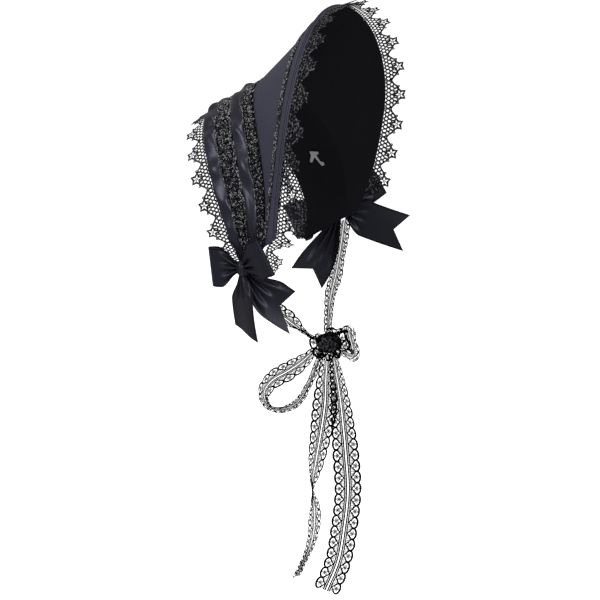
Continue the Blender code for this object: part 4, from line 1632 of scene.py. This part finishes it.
class Row(Enum):
    """Columns of a tie's route table."""

    ACROSS = 0
    UP = 1
    OUT = 2
    TURN = 3
    WIDTH = 4
    KNOT = 5


TIE_ROUTES = {
    "right_tie": (
        (-78.5, 78, 51.5, 64, 24, 0), (-74, 68, 46, 55, 28, 0), (-64, 47, 37, 35, 28, 0),
        (-45, 31, 28, 40, 28, 0), (-27, 16, 19, 68, 24, 0), (-15, 5, 8, 70, 9, 1)),
    "left_tie": (
        (22, 108.2, -99, 64, 28, 0), (17, 85, -78, 69, 28, 0), (11, 62, -53, 70, 28, 0),
        (4, 40, -33, 70, 26, 0), (-1, 14, -8, 60, 9, 1)),
    "tie_loop": (
        (-13, -5, 5, 60, 9, 1), (-26, -16, 10, 62, 24, 0), (-42, -26, 13, 60, 28, 0),
        (-56, -34, 13, 62, 28, 0), (-64, -47, 8, 66, 28, 0), (-60, -62, 1, 66, 28, 0),
        (-47, -68, -5, 62, 28, 0), (-33, -64, -8, 60, 28, 0), (-20, -45, -8, 60, 22, 0),
        (-9, -12, -5, 60, 9, 1)),
    "tie_fold": (
        (10, 12, 5, 60, 9, 1), (18, 15, 8, 55, 20, 0), (21, 5, 6, 60, 24, 0),
        (24, -13, 2, 60, 18, 0), (14, -11, -2, 60, 9, 1)),
    "tie_tail_left": (
        (-1, -12, 5, 20, 9, 1), (-3, -34, 8, 25, 20, 0), (-4, -58, 9, 32, 28, 0),
        (-8, -88, 9, 40, 28, 0), (-13, -118, 9, 58, 28, 0), (-17, -146, 8, 92, 28, 0),
        (-14, -171, 7, 118, 28, 0), (-16, -197, 7, 118, 28, 0), (-32, -237, 8, 116, 28, 0)),
    "tie_tail_right": (
        (6, -12, -5, 40, 9, 1), (9, -37, -7, 52, 24, 0), (12, -58, -8, 50, 28, 0),
        (15, -85, -8, 35, 28, 0), (18, -118, -7, 8, 28, 0), (20, -151, -5, 0, 28, 0),
        (16, -192, -3, 0, 28, 0), (10, -225, -1, 0, 28, 0), (-2, -255, 0, 0, 28, 0)),
}


@dataclass
class ChinTies:
    """Lace ribbons from the lower corners to the chin, with their knot and loose ends."""

    turn: float = 64
    chin: tuple[float, float, float] = (0, -94, -238)
    knot_half: tuple[float, float, float] = (13, 11, 10)
    clearance: float = 0.6
    width: float = 28
    pitch: float = 11.6
    rows: int = 201
    extra: int = 6
    frill_root: float = 5.5
    frill_swing: float = 0.32
    frill_crush: float = 0.12
    frills: tuple[tuple[float, float, float, float, float], ...] = (
        (-25, 80, 20, 16, 2.5), (60, 165, 35, 14, 2.0), (150, 250, 15, 14, 2.5),
        (215, 330, 30, 14, 3.0), (-60, 70, 45, 14, 2.0))

    @property
    def spare(self) -> float:
        """Share of a ribbon that its band reaches beyond each end."""
        return self.extra / (self.rows - 1)

    def axes(self) -> Array:
        """Directions of the plane that the ties hang in.

        Returns:
            The across, up and out directions.
        """
        turn = math.radians(self.turn)
        return np.array([[math.cos(turn), -math.sin(turn), 0], [0, 0, 1],
                         [-math.sin(turn), -math.cos(turn), 0]])

    def band(self, route: Sequence[tuple]) -> tuple[Array, Array, float]:
        """Points over a ribbon, a little past its ends and sides, and the directions off it.

        Args:
            route: The ribbon's table of places.

        Returns:
            The points, the directions off the ribbon and its length.
        """
        rows = []
        for row in route:
            place = np.array(row[:Row.TURN.value], dtype=float)
            if row[Row.KNOT.value]:
                reach = 1 / np.linalg.norm(unit(place) / np.array(self.knot_half))
                place = unit(place) * (reach + self.clearance)
            rows.append([*place, row[Row.TURN.value], row[Row.WIDTH.value]])
        read = smooth_rows(np.array(rows), np.linspace(0, 1, self.rows))
        length = float(np.linalg.norm(np.diff(read[:, :3], axis=0), axis=1).sum())
        run = unit(np.gradient(read[:, :3], axis=0))
        before = np.linspace(-self.spare, 0, self.extra + 1)[:-1, None] * length
        after = np.linspace(0, self.spare, self.extra + 1)[1:, None] * length
        middle = np.concatenate([read[0, :3] + run[0] * before, read[:, :3],
                                 read[-1, :3] + run[-1] * after])
        ends = ((self.extra, self.extra), (0, 0))
        read = np.pad(read, ends, mode="edge")
        run = np.pad(run, ends, mode="edge")
        flat = unit(np.cross([0, 0, 1.0], run))
        turn = np.radians(read[:, 3:4])
        edge = flat * np.cos(turn) + np.cross(run, flat) * np.sin(turn)
        off = np.cross(run, edge)
        over = np.linspace(-1 - 2 * self.spare, 1 + 2 * self.spare, 11)
        half = read[:, 4:5] / 2
        gathered = 1.2 * (1 - np.clip(read[:, 4:5] / self.width, 0, 1))
        wave = gathered * 2 * np.cos(over * 5.5)[None, :]
        curve = 0.6 * np.sin(np.linspace(0, 19, len(middle)))[:, None] * over[None, :]
        grid = (middle[:, None, :] + edge[:, None, :] * (half * over[None, :])[..., None]
                + off[:, None, :] * (wave + curve)[..., None])
        place = np.array(self.chin) + grid @ self.axes()
        out = np.broadcast_to((off @ self.axes())[:, None, :], place.shape)
        return place, out, length

    def build(self) -> None:
        """Makes the ribbons and the knot."""
        for node, route in TIE_ROUTES.items():
            grid, out, length = self.band(route)
            count = max(1, round(length / self.pitch))
            cell = tie_lace_cell(length / count, self.width)
            piece = BandRepeat().run(f"lace_{node}", cell, grid, out, length, self.width,
                                     TIE_THREAD, spare=self.spare)
            fit_piece(piece, node)
            declare_cloth(piece, self.width, length, cell.area(count))
        self.knot()
        for number, arc in enumerate(self.frills):
            self.frill(number, arc)

    def knot(self) -> None:
        """Makes the crumpled knot."""
        rows, columns = 60, 80
        polar = np.linspace(0.02, math.pi - 0.02, rows)[:, None]
        angle = np.linspace(0, math.tau, columns, endpoint=False)[None, :]
        random = np.random.default_rng(5)
        shape = np.stack([np.sin(polar) * np.cos(angle), np.cos(polar) * np.ones_like(angle),
                          np.sin(polar) * np.sin(angle)], axis=-1)
        bumps = np.zeros((rows, columns))
        for _ in range(14):
            axis = unit(random.normal(size=3))
            phase, rate = random.uniform(0, math.tau), random.uniform(4, 11)
            bumps += np.sin(shape @ axis * rate + phase)
        radius = 0.93 + 0.07 * np.tanh(bumps / 3)
        grid = shape * radius[..., None] * np.array(self.knot_half)
        mesh = lump_mesh("chin_knot", np.array(self.chin) + grid @ self.axes(), turned=True)
        piece = new_object("chin_knot", mesh)
        set_finish(piece, KNOTTED)
        fit_piece(piece, "tie_knot")

    def frill(self, number: int, arc: tuple[float, float, float, float, float]) -> None:
        """Makes one gathered end of lace that stands out of the knot.

        Args:
            number: Number of the frill.
            arc: Angles of its two ends round the knot and of its tilt off the plane that the
                ties hang in, its reach and the number of its waves.
        """
        start, stop, tilt, reach, waves = arc
        rows, spare = 61, 0.06
        shares = np.linspace(-spare, 1 + spare, rows)
        angle = np.radians(start + (stop - start) * shares)
        lean = math.radians(tilt)
        way = np.stack([np.cos(angle) * math.cos(lean), np.sin(angle) * math.cos(lean),
                        np.full(rows, math.sin(lean))], axis=1)
        off = unit(np.cross(way, np.gradient(way, axis=0)))
        radius = 1 / np.linalg.norm(way / np.array(self.knot_half), axis=1)
        base = way * (radius - self.frill_root)[:, None]
        over = np.linspace(-spare, 1 + spare, 8)
        turn = shares * math.tau * waves
        wave = np.sin(turn + number) * reach * self.frill_swing
        crush = 1 - self.frill_crush * np.cos(turn * 0.5 + number) ** 2
        grid = (base[:, None] + way[:, None] * (reach * crush)[:, None, None] * over[None, :, None]
                + off[:, None] * (wave[:, None] * over[None, :])[..., None])
        out = np.broadcast_to((off @ self.axes())[:, None], grid.shape)
        place = np.array(self.chin) + grid @ self.axes()
        length = float(np.linalg.norm(np.diff(grid, axis=0), axis=2).sum(axis=0).mean())
        length = length / (1 + 2 * spare)
        count = max(1, int(length / self.pitch))
        width = self.width / 2
        cell = tie_lace_cell(length / count, width, sides=(1,))
        piece = BandRepeat().run(f"knot_frill_{number}", cell, place, out, length, width,
                                 TIE_THREAD, spare=spare)
        fit_piece(piece, None)
        declare_cloth(piece, width, length, cell.area(count))


@dataclass
class HairClip:
    """Bent metal strip that lies against the crown's lining."""

    form: BonnetForm
    across: float = 0.56
    along: float = 0.61
    thick: float = 0.9
    depth: float = -4.7
    bevel: float = 0.2
    outline: tuple[tuple[float, float], ...] = (
        (-4.5, 6), (4.5, 6), (4.5, 3), (3.5, 2.5), (5.5, -6), (3, -6.5), (0, -0.5), (-7, -10),
        (-10, -8.5), (-9, -5.5), (-5.5, -5), (-2, 2.5), (-4.5, 3))

    def build(self) -> None:
        """Makes and dresses the clip."""
        normal = self.form.normal(self.across, self.along)
        centre = self.form.lifted(self.across, self.along, self.depth)
        up = unit(np.array([0, 0, 1.0]) - normal * normal[2])
        side = np.cross(up, normal)
        high = [centre + x * side + y * up for x, y in self.outline]
        low = [point - normal * self.thick for point in high]
        count = len(high)
        faces = [list(range(count))[::-1], list(range(count, 2 * count))]
        faces += [[i, (i + 1) % count, (i + 1) % count + count, i + count] for i in range(count)]
        mesh = bpy.data.meshes.new("clip")
        mesh.from_pydata([tuple(point * MM) for point in (*high, *low)], [], faces)
        mesh.update()
        clip = new_object("steel_clip", mesh)
        bevel = clip.modifiers.new("bevel", "BEVEL")
        bevel.width = self.bevel * MM
        bevel.segments = 2
        graph = bpy.context.evaluated_depsgraph_get()
        clip.data = bpy.data.meshes.new_from_object(clip.evaluated_get(graph))
        clip.modifiers.clear()
        set_finish(clip, STEEL)
        fit_piece(clip, "hair_clip")


@dataclass
class Studio:
    """Pale floor, soft light and the camera."""

    eye: tuple[float, float, float] = (-1918.3, -884.9, 196.3)
    aim: tuple[float, float, float] = (0, -63.2, -197.4)
    lens: float = 129.03
    floor_z: float = -620
    floor_glow: float = 0.9
    floor_size: float = 400
    surroundings: float = 0.4
    sight: float = 500
    lamp_size: float = 0.9
    lamp_aim: tuple[float, float, float] = (0, -0.05, -0.05)

    def build(self) -> None:
        """Makes the stage, the lights and the camera."""
        self.floor()
        self.lights()
        self.camera()

    def floor(self) -> None:
        """Makes the floor, which is not part of the object."""
        bpy.ops.mesh.primitive_plane_add(size=self.floor_size, location=(0, 0, self.floor_z * MM))
        floor = bpy.context.object
        floor.name = "floor"
        paint = bpy.data.materials.new("pale_floor")
        paint.use_nodes = True
        shader = paint.node_tree.nodes["Principled BSDF"]
        shader.inputs["Base Color"].default_value = (0.8, 0.8, 0.8, 1)
        shader.inputs["Emission Color"].default_value = (1, 1, 1, 1)
        shader.inputs["Emission Strength"].default_value = self.floor_glow
        shader.inputs["Roughness"].default_value = 0.9
        floor.data.materials.append(paint)
        floor.visible_glossy = False

    def lights(self) -> None:
        """Makes the white surroundings and three soft boxes."""
        world = bpy.data.worlds.new("studio")
        world.use_nodes = True
        world.node_tree.nodes["Background"].inputs["Color"].default_value = (1, 1, 1, 1)
        world.node_tree.nodes["Background"].inputs["Strength"].default_value = self.surroundings
        bpy.context.scene.world = world
        plan = (("key", (-1.55, 0.9, 1.15), 42), ("fill", (-1.5, -1.6, 0.8), 66),
                ("top", (0.1, -0.2, 2.0), 34))
        for name, place, power in plan:
            lamp = bpy.data.lights.new(name, "AREA")
            lamp.size = self.lamp_size
            lamp.energy = power
            holder = bpy.data.objects.new(name, lamp)
            bpy.context.collection.objects.link(holder)
            holder.location = place
            aim = Vector(self.lamp_aim) - Vector(place)
            holder.rotation_euler = aim.to_track_quat("-Z", "Y").to_euler()

    def camera(self) -> None:
        """Makes the camera at the photograph's angle."""
        lens = bpy.data.cameras.new("camera")
        lens.lens = self.lens
        lens.clip_end = self.sight
        holder = bpy.data.objects.new("camera", lens)
        bpy.context.collection.objects.link(holder)
        eye = Vector(self.eye) * MM
        aim = Vector(self.aim) * MM
        turn = (aim - eye).to_track_quat("-Z", "Y").to_matrix().to_4x4()
        holder.matrix_world = Matrix.Translation(eye) @ turn
        bpy.context.scene.camera = holder


def crown_laces(form: BonnetForm) -> list[CrownLace]:
    """The laces laid on the crown and brim, apart from the star laces.

    Args:
        form: The bonnet's form.

    Returns:
        The wide lace, the seam lace and the braid.
    """
    def between(start: float, stop: float) -> Callable[[Array], tuple[Array, Array]]:
        """Two even places across the crown."""
        return lambda along: (np.full_like(along, start), np.full_like(along, stop))

    def behind_strip(along: Array) -> tuple[Array, Array]:
        """The braid's two edges, which stay on the brim where it narrows."""
        return (np.maximum(form.from_front(along, 30.5), 1.03), form.from_front(along, 19.5))

    return [
        CrownLace(form, "wide_lace", "lace_trim_wide", wide_lace_cell(30.4, 19.5), 19.5,
                  between(0.215, 0.585), repeats=14),
        CrownLace(form, "seam_lace", "lace_trim_seam", leaf_lace_cell(17.0, 15.0), 15.0,
                  between(0.77, 1.035)),
        CrownLace(form, "narrow_lace", "braid_trim", leaf_lace_cell(20.0, 10.5), 10.5,
                  behind_strip, carrier="brim_cover"),
    ]


def bows(form: BonnetForm) -> list[Bow]:
    """The two bows, with their loops and tails given forward, up and out from each knot.

    Args:
        form: The bonnet's form.

    Returns:
        The right and the left bow.
    """
    right = Bow(form, "right", -1, 0.26, 1.0, loops={
        "back": {"reach": -29, "rise": 1, "swing": 12, "lean": -8, "tilt": 0},
        "front": {"reach": 34, "rise": 16, "swing": 20, "lean": -3, "tilt": 10}}, tails={
        "front": {"bend": (16, -24, -3), "end": (45, -42, -15), "fan": 0.6, "turn": -24,
                  "notch": 14, "slant": 8, "crease": 3.0},
        "hanging": {"bend": (-3, -32, 2), "end": (4, -63, 2), "fan": 0.4, "turn": 28,
                    "notch": 0, "slant": -9}})
    left = Bow(form, "left", 1, 0.76, 0.90, loops={
        "back": {"reach": -52, "rise": -18, "swing": 10, "lean": -6, "tilt": 0},
        "front": {"reach": 38, "rise": 29, "swing": 20, "lean": -4, "tilt": 20}}, tails={
        "front": {"bend": (34, -14, -3), "end": (71, -25, 0), "fan": 0.35, "turn": 0,
                  "notch": 14, "slant": 2},
        "hanging": {"bend": (-8, -35, 13), "end": (-34, -76, 3), "fan": 0.8, "turn": 0,
                    "notch": 12, "slant": 0}})
    return [right, left]


def main() -> None:
    """Builds the bonnet's looks in order."""
    logging.basicConfig(level=logging.INFO, format="%(name)s %(message)s")
    bpy.context.scene.view_settings.view_transform = "Standard"
    Studio().build()
    form = BonnetForm()
    Panels(form).build()
    CrownRibbon(form, "back_ribbon", "satin_ribbon_back", 0.005, 0.225, 3.8, 14, 0.6, 3).build()
    CrownRibbon(form, "middle_ribbon", "satin_ribbon_middle", 0.555, 0.775, 4.6, 9, 1.3,
                8).build()
    for lace in crown_laces(form):
        lace.build()
    EdgeStrip(form).build()
    StarLace(form, "front_star_lace", "star_lace_front", 2.0, 1, 26, 21, -1.17, 0.93,
             end_turn=38, end_back=7, bow_back=10, end_gather=0.4).build()
    StarLace(form, "back_star_lace", "star_lace_back", 0.0, -1, 0, 15, -1.0, 1.0,
             carrier="crown_cloth").build()
    for bow in bows(form):
        bow.build()
    ChinTies().build()
    HairClip(form).build()


if __name__ == "__main__":
    main()
